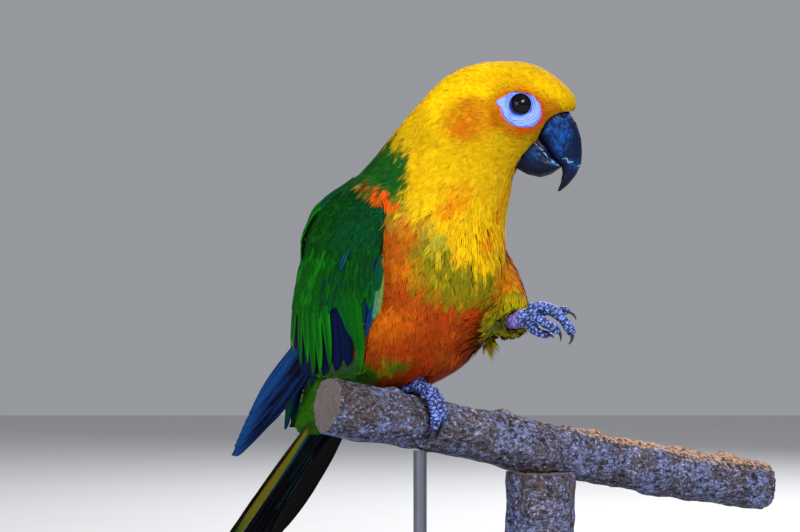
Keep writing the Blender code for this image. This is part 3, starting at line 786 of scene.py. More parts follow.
@dataclass(frozen=True)
class EyeRing:
    """The bare ring round an eye: outline, lids and folds, in mm from the eye's middle in side view."""

    middle: Pair = (0.35, -1.9)
    half: Pair = (7.35, 6.4)
    tilt: float = math.radians(28)
    corner: Pair = (-4.6, 0.6)
    corner_half: Pair = (3.9, 1.9)
    blend: float = 9.0
    opening: float = 3.25
    lid_height: float = 0.42

    def share(self, ahead: Array, up: Array) -> Array:
        """How far out a point is: 0 in the middle and 1 on the outline."""
        level, rise = ahead - self.middle[0], up - self.middle[1]
        long = level * math.cos(self.tilt) - rise * math.sin(self.tilt)
        short = level * math.sin(self.tilt) + rise * math.cos(self.tilt)
        whole = np.hypot(long / self.half[0], short / self.half[1])
        back = np.hypot((ahead - self.corner[0]) / self.corner_half[0],
                        (up - self.corner[1]) / self.corner_half[1])
        return -np.log(np.exp(-self.blend * whole) + np.exp(-self.blend * back)) / self.blend

    def seen(self, points: Array) -> "tuple[Array, Array, Array, Array]":
        """How far points are ahead of the eye, above it and out, and their share of the outline."""
        local = HEAD.inside(points)
        ahead, up = local[:, 0] - EYE[0], local[:, 2] - EYE[2]
        out = np.abs(local[:, 1])
        share = np.where(out > EYE[1] * 0.6, self.share(ahead, up), 9.0)
        return ahead, up, out, share

    def shaped(self, points: Array) -> Array:
        """Skin points moved to make the lids, the folds and the socket.

        Args:
            points: the skin's points, in the world.

        Returns:
            The points, with those round the eyes moved out or in.
        """
        local = HEAD.inside(points)
        ahead, up, out, share = self.seen(points)
        reach = np.hypot(ahead, up)
        turn = np.arctan2(up, ahead)
        ball = EYE[1] + np.sqrt(np.clip(EYE_RADIUS**2 - reach**2, 0.01, None))
        fold = noise(np.stack([ahead, up, local[:, 1]], axis=1), 2.2, 5)
        waves = np.sin((reach + 0.55 * fold) * 2 * math.pi / 0.95)
        crossing = np.sin(turn * 34 + reach * 2.0 + fold * 3)
        plain = out + 0.75 * (1 - smooth(0.86, 1.04, share))
        folds = 0.15 * waves + 0.07 * crossing
        plain += folds * (1 - smooth(0.86, 1.0, share)) * smooth(4.0, 4.8, reach)
        plain += 0.2 * np.exp(-(((share - 0.93) / 0.06) ** 2))
        beads = 0.09 * np.cos(turn * 26 + 0.6 * fold)
        roll = np.exp(-(((reach - self.opening - 0.4) / 0.36) ** 2))
        lid = ball + 0.2 + (self.lid_height + beads) * roll
        raised = mixed(lid[:, None], plain[:, None], smooth(4.1, 5.6, reach))[:, 0]
        socket = EYE[1] + np.sqrt(np.clip(4.3**2 - reach**2, 0.01, None))
        target = np.where(reach < self.opening - 0.1, socket, raised)
        near = share < 1.35
        local[:, 1] = np.where(near, np.sign(local[:, 1]) * target, local[:, 1])
        return HEAD.outside(local)


RING = EyeRing()

# Level hoops of a folded wing's outer face: height, forward centre, half depth, half width, in mm.
WING_HOOPS = np.array((
    (-34, -30, 12, 20), (-20, -26, 20, 23), (-8, -20, 27, 26), (2, -14.5, 34, 28.6),
    (8, -10.5, 38, 30.2), (18, -5.5, 43.5, 32.2), (30, -2, 45.5, 33.6), (44, 0, 44, 34),
    (56, 2, 43.8, 33.6), (66, 5.4, 41.6, 31.8), (73.5, 10.5, 37, 28), (82, 15, 31, 23),
), float).T


def round_wing(bird: Array) -> Array:
    """How many degrees round a wing points in the bird's frame are, from its side towards the back."""
    x, y, z = bird.T
    forward, deep, wide = (np.interp(z, WING_HOOPS[0], row) for row in WING_HOOPS[1:])
    return np.degrees(np.arctan2((forward - x) / deep, np.abs(y) / wide))


class Markings:
    """The bird's colours, from where on the body a point is. Skin and coat share them."""

    BIB_LOW = 43.0
    OLIVE_LOW = 31.0

    def body(self, points: Array, chance: "Array | None" = None) -> Array:
        """Colours of head, neck, trunk and legs.

        Args:
            points: places on the body, in the world.
            chance: a number from 0 to 1 for each feather, which strays its colour.

        Returns:
            One linear colour for each point.
        """
        chance = np.full(len(points), 0.5) if chance is None else chance
        stray = (chance - 0.5)[:, None] * (3.0, 3.0, 5.0)
        patch = noise(points, 9 * MM, 1)
        small = noise(points, 3.2 * MM, 2)
        bird = BIRD.inside(points)
        x, y, z = (bird + stray + (small * 1.3 + patch * 1.2)[:, None]).T
        side = np.abs(y)
        crown = smooth(-14, 2, HEAD.inside(points)[:, 2] + small)
        colour = mixed(Hue.THROAT.linear(), Hue.CROWN.linear(), crown)
        # Breast: yellow with orange flecks, a sage and olive band, then the orange-red belly.
        turned = np.degrees(np.arctan2(side, np.maximum(x - 12, 0.01)))
        bib = self.BIB_LOW + 15 * np.clip(turned / 62, 0, 1) ** 1.4
        fleck = smooth(0.1, 0.75, noise(points, 6.5 * MM, 3) + 0.35 * small) * smooth(84, 66, z)
        near = smooth(12, 2, y)
        gold = smooth(0.2, 0.8, noise(points, 2.6 * MM, 4)) * smooth(bib - 18, bib - 4, z)
        colour = painted(
            colour,
            (Hue.PATCH, fleck * 0.75),
            (Hue.SAGE, smooth(bib + 10, bib, z) * smooth(20, 50, turned) * near * 0.85),
            (Hue.OLIVE, smooth(bib + 2.5, bib - 2.5, z) * (0.25 + 0.75 * near)),
            (Hue.PATCH, smooth(bib + 1, bib - 4, z) * (1 - near) * 0.7),
            (Hue.THROAT, gold * smooth(bib + 2, bib - 3, z) * 0.45),
        )
        low = self.OLIVE_LOW + 8 * np.clip(turned / 62, 0, 1) ** 1.2
        belly = painted(
            mixed(Hue.BELLY.linear(), Hue.BELLY_LOW.linear(), smooth(24, 2, z + 4 * patch)),
            (Hue.OLIVE, smooth(-0.1, 0.8, patch) * smooth(8, 28, z) * smooth(30, 10, side) * 0.75),
            (Hue.FLANK, smooth(0.1, 0.8, noise(points, 5 * MM, 9)) * 0.7),
            (Hue.PATCH, smooth(0.3, 0.9, small) * 0.3),
        )
        colour = mixed(colour, belly, smooth(low + 4, low - 4, z))
        # Flanks beside the wings burn brightest.
        flank = smooth(20, 26, side) * smooth(12, 30, z) * smooth(68, 56, z)
        orange = mixed(Hue.PATCH.linear(), Hue.BELLY.linear(), smooth(-0.3, 0.5, patch))
        orange = np.where((y > 0)[:, None], Hue.FLANK.linear(), orange)
        colour = mixed(colour, orange, flank * 0.9)
        # Mantle, back and rump.
        mantle = smooth(1.5, -1.5, z - 92.5 + 0.25 * x) * smooth(23, 19, x)
        green = mixed(Hue.MANTLE.linear(), Hue.MANTLE_TEAL.linear(), smooth(-0.2, 0.8, patch))
        green = painted(green, (Hue.WING_BRIGHT, smooth(0.3, 0.9, small) * 0.4))
        behind = np.maximum(mantle * smooth(60, 68, z), smooth(2, -6, x) * smooth(95, 91, z))
        rump = smooth(-4, -12, x) * smooth(26, 14, z) * smooth(-0.3, 0.6, patch)
        vent = smooth(8, -2, z + 0.55 * (x + 4)) * smooth(6, -4, x)
        colour = painted(mixed(colour, green, behind), (Hue.RUMP, rump * 0.6), (Hue.VENT, vent))
        # The green low on the flank, the olive and green of the legs, and painted shade in the open end
        # of the raised leg's feathers.
        low_flank = smooth(-14, -20, y) * smooth(13, 8, z + 2 * small)
        leafy = mixed(Hue.VENT.linear(), Hue.SHANK.linear(), smooth(0.2, 0.8, patch) * 0.5)
        knee = np.linalg.norm(bird - KNEE, axis=1) + 2 * small
        ankle = np.linalg.norm(bird - STANDING_SHANK, axis=1) + 2 * small
        colour = painted(
            mixed(colour, leafy, low_flank),
            (Hue.SHANK, smooth(13, 8, knee)),
            # Painted shade: grey-teal in the open end of the raised leg's feathering.
            (Hue.TEAL_EDGE, smooth(7, 3, knee) * 0.5),
            (Hue.VENT, smooth(15, 8, ankle) * smooth(3, -3, x) * 0.85),
        )
        return self.face(self.bend(colour, bird, small), points, small)

    def wing(self, points: Array, chance: "Array | None" = None) -> Array:
        """Colours of the small coverts over a folded wing's arm.

        Args:
            points: places on the wing, in the world.
            chance: a number from 0 to 1 for each feather, which strays its colour.

        Returns:
            One linear colour for each point.
        """
        chance = np.full(len(points), 0.5) if chance is None else chance
        small = noise(points, 3.0 * MM, 12)
        patch = noise(points, 8 * MM, 13)
        bird = BIRD.inside(points)
        degrees = round_wing(bird) + 3 * small
        height = bird[:, 2]
        teal = smooth(26, -10, degrees + 16 * patch)
        frost = smooth(20, -5, degrees) * smooth(0.1, 0.7, patch) * smooth(54, 60, height)
        colour = painted(
            mixed(Hue.WING.linear(), Hue.WING_TEAL.linear(), teal * 0.6),
            (Hue.WING_DARK, smooth(0.3, 0.9, chance) * 0.65),
            (Hue.WING_BRIGHT, smooth(0.35, 0.0, chance) * smooth(8, 36, degrees) * 0.9),
            (Hue.NAVY, smooth(34, 22, height)),
            (Hue.VENT, smooth(15, 10, height + small) * smooth(14, 2, degrees) * 0.7),
            (Hue.TEAL_EDGE, frost * 0.35),
        )
        return self.bend(colour, bird, small)

    def bend(self, colour: Array, bird: Array, small: Array) -> Array:
        """Adds the orange-red stripe, yellow below, over the bend of the wings."""
        degrees = round_wing(bird)
        over = bird[:, 2] - (69.8 + 0.25 * degrees) + 0.5 * small
        reach = smooth(19, 13, degrees) * smooth(-26, -19, degrees) * smooth(17, 20, np.abs(bird[:, 1]))
        stripe = smooth(-0.4, 0.4, over) * smooth(2.5, 1.5, over + 0.04 * degrees) * reach
        yellow = stripe * smooth(1.3, 0.5, over) * smooth(-8, 4, degrees)
        return painted(colour, (Hue.BEND, stripe), (Hue.BEND_YELLOW, yellow))

    def face(self, colour: Array, points: Array, small: Array) -> Array:
        """Adds the orange of the cheeks, the lores and the edge of the eye ring."""
        ahead, up, _, share = RING.seen(points)
        beside = np.abs(HEAD.inside(points)[:, 1]) > 2.5
        wash = np.hypot((ahead + 17.5) / 11.0, (up + 4.6) / 9.5)
        spot = np.hypot((ahead + 21.5) / 5.0, (up + 9.4) / 3.6)
        halo = np.hypot((ahead + 0.3) / 11.2, (up + 2.6) / 9.6)
        lore = np.hypot((ahead - 10.5) / 4.6, (up + 3.4) / 5.6)
        brow = np.hypot((ahead + 6) / 15, (up - 8) / 4.5)
        mottle = smooth(0.1, 0.8, noise(points, 2.2 * MM, 10)) * smooth(1.2, 0.6, wash)
        gold = smooth(0.3, 0.9, noise(points, 1.8 * MM, 14)) * smooth(1.3, 0.8, wash)
        return painted(
            colour,
            (Hue.CHEEK, smooth(1.2, 0.4, wash + 0.22 * small) * 0.95 * beside),
            (Hue.PATCH, smooth(1.3, 0.4, spot) * 0.6 * beside),
            (Hue.PATCH, smooth(1.2, 0.8, halo + 0.08 * small) * 0.75),
            (Hue.CHEEK, smooth(1.25, 0.6, lore + 0.12 * small) * 0.8),
            (Hue.PATCH, smooth(1.2, 0.4, brow + 0.2 * small) * 0.22),
            (Hue.OLIVE, mottle * 0.45 * beside),
            (Hue.THROAT, gold * 0.5),
            (Hue.RING_EDGE, smooth(1.24, 1.08, share + 0.03 * small) * smooth(3.5, 0, up)),
            (Hue.RING_EDGE, smooth(1.16, 1.06, share) * 0.8),
        )

    def skin(self, points: Array, on_wing: Array) -> "tuple[Array, Array]":
        """Colours of the skin and how bare it is; on_wing tells which points are a wing's."""
        colour = np.where(on_wing[:, None], self.wing(points), self.body(points))
        ahead, up, _, share = RING.seen(points)
        reach = np.hypot(ahead, up)
        bare = smooth(1.06, 1.0, share)
        shade = smooth(0.2, 0.9, noise(points, 1.1 * MM, 8)) * 0.45 + smooth(0.85, 1.0, share) * 0.4
        ring = mixed(Hue.RING_SKIN.linear(), Hue.RING_SHADE.linear(), np.clip(shade, 0, 1))
        lid = smooth(4.25, 3.75, reach + 0.1 * np.cos(26 * np.arctan2(up, ahead)))
        ring = painted(ring, (Hue.LID, lid))
        return mixed(colour, ring, bare), bare


MARKINGS = Markings()


@dataclass(frozen=True)
class CoatPlan:
    """How long, deep and close together the plumage is, from where it grows. Sizes in mm."""

    face: Triple = (3.1, 0.45, 0.54)
    crown: Triple = (5.8, 0.7, 0.72)
    neck: Triple = (9.5, 1.2, 1.05)
    body: Triple = (10.5, 2.0, 1.35)
    leg: Triple = (6.5, 1.2, 1.05)
    bend: Triple = (4.4, 0.8, 0.85)
    arm: Triple = (9.5, 1.5, 1.2)
    width_share: float = 0.32

    def at(self, points: Array) -> Array:
        """Rows of the feathers' length, the coat's depth and the gap between roots, in mm."""
        head = HEAD.inside(points)
        bird = BIRD.inside(points)
        behind = np.hypot(head[:, 0] - 8, np.minimum(head[:, 2] + 8, 0))
        knee = np.linalg.norm(bird - KNEE, axis=1)
        ankle = np.linalg.norm(bird - STANDING_SHANK, axis=1)
        sizes = np.array(self.body)[None]
        for part, weight in (
            (self.neck, smooth(66, 84, bird[:, 2])),
            (self.crown, smooth(44, 24, behind)),
            (self.face, smooth(21, 9, behind)),
            (self.face, smooth(1.6, 1.15, RING.seen(points)[3])),
            (self.leg, smooth(17, 9, np.minimum(knee, ankle))),
        ):
            sizes = mixed(sizes, np.array(part), weight)
        return sizes.T

    def on_wing(self, points: Array) -> Array:
        """The same sizes for the small coverts of the wings."""
        share = smooth(68, 44, BIRD.inside(points)[:, 2])
        return mixed(np.array(self.bend), np.array(self.arm), share).T


PLAN = CoatPlan()


class Lie:
    """Which way the plumage lies: from the bill over the head and down the body to the tail."""

    # Lines in the bird's frame, in mm, along which the feathers point.
    SPINE = ((58, 16, 99), (49, 11, 104), (38, 6, 100), (29, 2, 92), (20, 0, 80), (10, 0, 64),
             (3, 0, 46), (-2, 0, 28), (-9, 0, 12), (-22, 0, -2), (-40, 0, -22), (-56, 0, -40))
    RAISED_LEG = ((8, 15, 50), (17, 17, 45), (26, 18.5, 36), (34, 17.8, 28), (38, 15, 25), (40, 11, 23))
    STANDING_LEG = ((-2, -5, 15), (-1.2, -2.5, 8.5), (-0.6, 0.2, 3.6), (0, 1, -3))

    def __init__(self) -> None:
        """Works out each line's own directions."""
        self.lines = []
        for line, reach in ((self.SPINE, 15.0), (self.RAISED_LEG, 8.0), (self.STANDING_LEG, 5.0)):
            points = np.array(line, float)
            self.lines.append((points, unit(np.gradient(points, axis=0)), reach))

    def at(self, points: Array, normals: Array) -> Array:
        """The lie at places on the body.

        Args:
            points: the places, in the world.
            normals: the directions out of the body there.

        Returns:
            Directions along the body, in the world.
        """
        bird = BIRD.inside(points)
        flow = np.zeros_like(bird)
        for line, ways, reach in self.lines:
            gap = np.linalg.norm(bird[:, None] - line[None], axis=2)
            near = np.exp(-((gap / reach) ** 2)) + (1e-7 if reach > 10 else 0)
            flow += near @ ways * (1.0 if reach > 10 else 2.5)
        flow = unit(flow)
        head = HEAD.inside(points)
        fan = BIRD.turned_in(HEAD.turned(unit(head - (18.0, 0.0, -9.0))))
        near_bill = np.exp(-((np.linalg.norm(head - (14.0, 0.0, -8.0), axis=1) / 26) ** 2))
        flow = mixed(flow, fan, np.clip(near_bill * 1.5, 0, 0.9))
        world = BIRD.turned(flow)
        world += noise(points, 7 * MM, 11)[:, None] * 0.12 * np.cross(normals, world)
        return unit(world - normals * (world * normals).sum(axis=1, keepdims=True))


LIE = Lie()


def strand_template(strands: int, steps: int) -> "tuple[Array, Array]":
    """The barbs of one tuft, before they are shaped.

    Args:
        strands: how many barbs it has.
        steps: how many segments each has.

    Returns:
        Points (-0.5 to 0.5 across the barb, 0 to 1 along it, number of the barb), and triangles.
    """
    bm = bmesh.new()
    for strand in range(strands):
        at = Matrix.Translation((0, 0.5, strand))
        made = bmesh.ops.create_grid(bm, x_segments=1, y_segments=steps, size=0.5, matrix=at)["verts"]
        tip = [vert for vert in made if vert.co.y > 0.999]
        bmesh.ops.pointmerge(bm, verts=tip, merge_co=(0, 1, strand))
    bmesh.ops.triangulate(bm, faces=bm.faces)
    bm.verts.index_update()
    points = np.array([vert.co for vert in bm.verts])
    faces = np.array([[vert.index for vert in face.verts] for face in bm.faces])
    bm.free()
    return points, faces


class Unwrap:
    """An unwrap of the skin's own shape, which gives each tuft its patch for baking."""

    PATCH = 0.003

    def __init__(self, mesh: bpy.types.Mesh) -> None:
        """Unwraps a light copy of the skin."""
        light = remeshed(mesh, 3.0, 1)
        holder = bpy.data.objects.new("unwrap", light)
        bpy.context.scene.collection.objects.link(holder)
        bpy.context.view_layer.objects.active = holder
        bpy.ops.object.mode_set(mode="EDIT")
        bpy.ops.mesh.select_all(action="SELECT")
        bpy.ops.uv.smart_project(angle_limit=math.radians(60), island_margin=0.004)
        bpy.ops.object.mode_set(mode="OBJECT")
        light = holder.data
        corners = np.empty(len(light.loops) * 2, np.float32)
        light.uv_layers.active.data.foreach_get("uv", corners)
        self.corners = corners.reshape(-1, 3, 2)
        self.surface = Surface(light)
        bpy.data.objects.remove(holder)

    def at(self, points: Array) -> Array:
        """Where the nearest places of the skin are on the unwrap."""
        places = np.empty((len(points), 2))
        surface = self.surface
        for i, point in enumerate(points.tolist()):
            spot, _, index, _ = surface.tree.find_nearest(point)
            ends = surface.points[surface.faces[index]]
            first, second, spot = ends[1] - ends[0], ends[2] - ends[0], np.array(spot) - ends[0]
            share, *_ = np.linalg.lstsq(np.stack([first, second], axis=1), spot, rcond=None)
            uv = self.corners[index]
            places[i] = uv[0] + share[0] * (uv[1] - uv[0]) + share[1] * (uv[2] - uv[0])
        return places


@dataclass
class Tufts:
    """Roots of many feathers and how each grows, in metres."""

    roots: Array
    normals: Array
    length: Array
    depth: Array
    width: Array
    tint: Array
    lift: Array
    turn: Array

    def picked(self, index: Array) -> "Tufts":
        """Some of the tufts."""
        return Tufts(*(getattr(self, name)[index] for name in self.__dataclass_fields__))


@dataclass
class Coat:
    """The contour feathers over the skin, as tufts of barbs that follow the lie."""

    surface: Surface
    unwrap: Unwrap
    finish: bpy.types.Material
    strands: int = 7
    steps: int = 3
    most: int = 5400
    chance: np.random.Generator = seeded(41)

    def spines(self, tufts: Tufts) -> "tuple[Array, Array, Array]":
        """Steps each tuft's middle line along the skin.

        Args:
            tufts: where the tufts grow.

        Returns:
            The skin's places, directions out and directions along, for each step of each tuft.
        """
        places, normals = tufts.roots.copy(), tufts.normals.copy()
        lines, outs, alongs = [places], [normals], []
        stride = (tufts.length / self.steps)[:, None]
        for _ in range(self.steps):
            along = LIE.at(places, normals)
            along = unit(along + np.cross(normals, along) * tufts.turn[:, None])
            alongs.append(along)
            places, normals, _ = self.surface.nearest(places + along * stride)
            lines.append(places)
            outs.append(normals)
        alongs.append(alongs[-1])
        return np.stack(lines, axis=1), np.stack(outs, axis=1), np.stack(alongs, axis=1)

    def uneven(self, low: float, high: float, count: int, number: Array) -> Array:
        """A chance share for each barb of each tuft, at each of the template's points."""
        return self.chance.uniform(low, high, (count, self.strands))[:, number]

    def shaped(self, tufts: Tufts) -> "tuple[Array, Array, Array, Array, Array]":
        """The barbs of some tufts.

        Args:
            tufts: where the tufts grow.

        Returns:
            Points, triangles, vane coordinates, tints and bake places.
        """
        template, faces = strand_template(self.strands, self.steps)
        count = len(tufts.roots)
        lines, outs, alongs = self.spines(tufts)
        across, along, strand = template.T
        number = strand.round().astype(int)
        fan = 2 * number / (self.strands - 1) - 1
        reach = 1 - 0.3 * fan**2 + self.uneven(-0.12, 0.1, count, number)
        share = along * reach
        step = np.clip(share * self.steps, 0, self.steps - 1e-6)
        low = step.astype(int)
        part = (step - low)[..., None]
        row = np.arange(count)[:, None]
        middle = lines[row, low] * (1 - part) + lines[row, low + 1] * part
        out = unit(outs[row, low] * (1 - part) + outs[row, low + 1] * part)
        ahead = alongs[row, low]
        aside = np.cross(out, ahead)
        wide = tufts.width[:, None]
        open_out = 0.3 + 0.7 * along**0.8
        narrow = 1.45 / self.strands * (1 - 0.55 * along**2)
        wobble = self.uneven(-0.12, 0.12, count, number) * along
        sideways = (fan * open_out * (1 - 0.25 * along**3) + across * 2 * narrow + wobble) * wide
        deep = tufts.depth[:, None]
        height = deep * (-0.15 + 1.05 * smooth(-0.1, 1.0, along))
        height = height + tufts.lift[:, None] * along**2
        height = height - 0.14 * wide * fan**2 + (number % 2) * 0.05 * MM
        height += self.uneven(-0.06, 0.1, count, number) * deep * along
        points = middle + aside * sideways[..., None] + out * height[..., None]
        pick = self.chance.random(count)
        vane = np.stack(np.broadcast_arrays(fan + across * 0.3, along, pick[:, None]), axis=2)
        tint = np.repeat(tufts.tint[:, None], len(template), axis=1)
        roots = self.unwrap.at(tufts.roots)
        patch = np.stack([fan * 0.42 + across * 0.12, along - 0.5], axis=1) * Unwrap.PATCH
        uv = roots[:, None] + patch[None]
        everywhere = faces[None] + (np.arange(count) * len(template))[:, None, None]
        return (points.reshape(-1, 3), everywhere.reshape(-1, 3), vane.reshape(-1, 3),
                tint.reshape(-1, 3), uv.reshape(-1, 2))

    def pieces(self, name: str, tufts: Tufts, slot: str) -> None:
        """Adds the tufts as pieces from the top of the bird down, each light enough to keep whole."""
        order = np.argsort(-tufts.roots[:, 2])
        for number, index in enumerate(np.array_split(order, math.ceil(len(order) / self.most)), 1):
            points, faces, vane, tint, uv = self.shaped(tufts.picked(index))
            mesh = bpy.data.meshes.new(f"{name}_{number}")
            mesh.from_pydata(points, [], faces)
            mesh.shade_smooth()
            write(mesh, "vane", vane)
            write(mesh, "tint", tint)
            layer = mesh.uv_layers.new(name="OFBake")
            layer.data.foreach_set("uv", uv[faces.ravel()].astype(np.float32).ravel())
            add_piece(mesh.name, mesh, self.finish, slot)


@dataclass
class Vane:
    """One long feather: how its shaft runs, its half width in mm, its colours and how it ends."""

    line: Array
    outs: Array
    half: float
    tints: Tints
    tip: float = 0.35
    root: float = 0.45
    lean: float = 0.0
    tilt: float = 0.12
    camber: float = 0.14
    point: float = 0.5


@dataclass
class Plumes:
    """Sets of long feathers, each a shaft with vanes on both sides, joined into pieces."""

    finish: bpy.types.Material
    columns: int = 8
    rows: int = 16
    ridge: float = 0.16
    chance: np.random.Generator = seeded(97)

    def template(self) -> "tuple[Array, Array]":
        """A flat grid: points (across from -1 to 1, along from 0 to 1) and triangles that face up."""
        bm = bmesh.new()
        bmesh.ops.create_grid(bm, x_segments=self.columns, y_segments=self.rows, size=1.0)
        bmesh.ops.triangulate(bm, faces=bm.faces)
        points = np.array([(vert.co.x, vert.co.y / 2 + 0.5) for vert in bm.verts])
        faces = np.array([[vert.index for vert in face.verts] for face in bm.faces])
        bm.free()
        return points, faces

    def shaped(self, vane: Vane, points: Array) -> "tuple[Array, Array, Array]":
        """One feather.

        Args:
            vane: what it is like.
            points: the template's points.

        Returns:
            World points, vane coordinates and tints.
        """
        across, along = points.T
        steps = len(vane.line) - 1
        at = np.clip(along * steps, 0, steps - 1e-6)
        low = at.astype(int)
        part = (at - low)[:, None]
        middle = vane.line[low] * (1 - part) + vane.line[low + 1] * part
        out = unit(vane.outs[low] * (1 - part) + vane.outs[low + 1] * part)
        ways = unit(np.gradient(vane.line, axis=0))
        ahead = unit(ways[low] * (1 - part) + ways[low + 1] * part)
        aside = unit(np.cross(ahead, out))
        grow = vane.root + (1 - vane.root) * smooth(0, 0.5, along)
        ending = np.clip((along - 1 + vane.tip) / vane.tip, 0, 1)
        taper = (1 - ending**2) ** vane.point
        luck = self.chance.random()
        grid = np.stack([along * 30, across * 3, along * 0 + luck * 99], axis=1)
        ragged = 1 + 0.035 * noise(grid, 1.0, 3)
        wide = vane.half * grow * np.maximum(taper, 0.015) * ragged
        sideways = across * wide + vane.lean * vane.half * (1 - np.abs(across)) * grow * taper * 0.5
        rise = -vane.camber * vane.half * across**2 + sideways * vane.tilt
        rise = rise + self.ridge * np.exp(-((across / 0.1) ** 2)) * (1 - 0.6 * along)
        rise = rise + 0.05 * vane.half * np.sin(along * 9 + luck * 20) * across
        made = middle + aside * (sideways * MM)[:, None] + out * (rise * MM)[:, None]
        inner, edge, tip = (hue.linear() for hue in vane.tints)
        tint = mixed(inner, edge, smooth(0.35, 0.95, np.abs(across)))
        tint = mixed(tint, tip, smooth(0.72, 0.98, along))
        tint = tint * (1 - 0.35 * np.exp(-((across / 0.07) ** 2)))[:, None] * (0.9 + 0.2 * luck)
        length = np.linalg.norm(np.diff(vane.line, axis=0), axis=1).sum() / MM
        coordinates = np.stack([across * wide, along * length, np.full(len(along), luck)], axis=1)
        return made, coordinates, tint

    def piece(self, name: str, vanes: "list[Vane]", slot: str, *stands_for: str) -> None:
        """Adds feathers as one piece.

        Args:
            name: the piece's name.
            vanes: its feathers.
            slot: the record's slot of its finish.
            stands_for: the CAD nodes it replaces.
        """
        points, faces = self.template()
        parts = zip(*(self.shaped(vane, points) for vane in vanes))
        made, coordinates, tints = (np.concatenate(part) for part in parts)
        everywhere = np.concatenate([faces + len(points) * i for i in range(len(vanes))])
        mesh = bpy.data.meshes.new(name)
        mesh.from_pydata(made, [], everywhere)
        mesh.shade_smooth()
        write(mesh, "vane", coordinates)
        write(mesh, "tint", tints)
        columns = math.ceil(math.sqrt(len(vanes) * 4))
        lines = math.ceil(len(vanes) / columns)
        spots = [
            ((points * (0.45, 0.9) + (0.5, 0.05)) + (i % columns, i // columns)) / (columns, lines)
            for i in range(len(vanes))
        ]
        layer = mesh.uv_layers.new(name="OFBake")
        corners = np.concatenate(spots)[everywhere.ravel()]
        layer.data.foreach_set("uv", corners.astype(np.float32).ravel())
        add_piece(name, mesh, self.finish, slot, *stands_for)


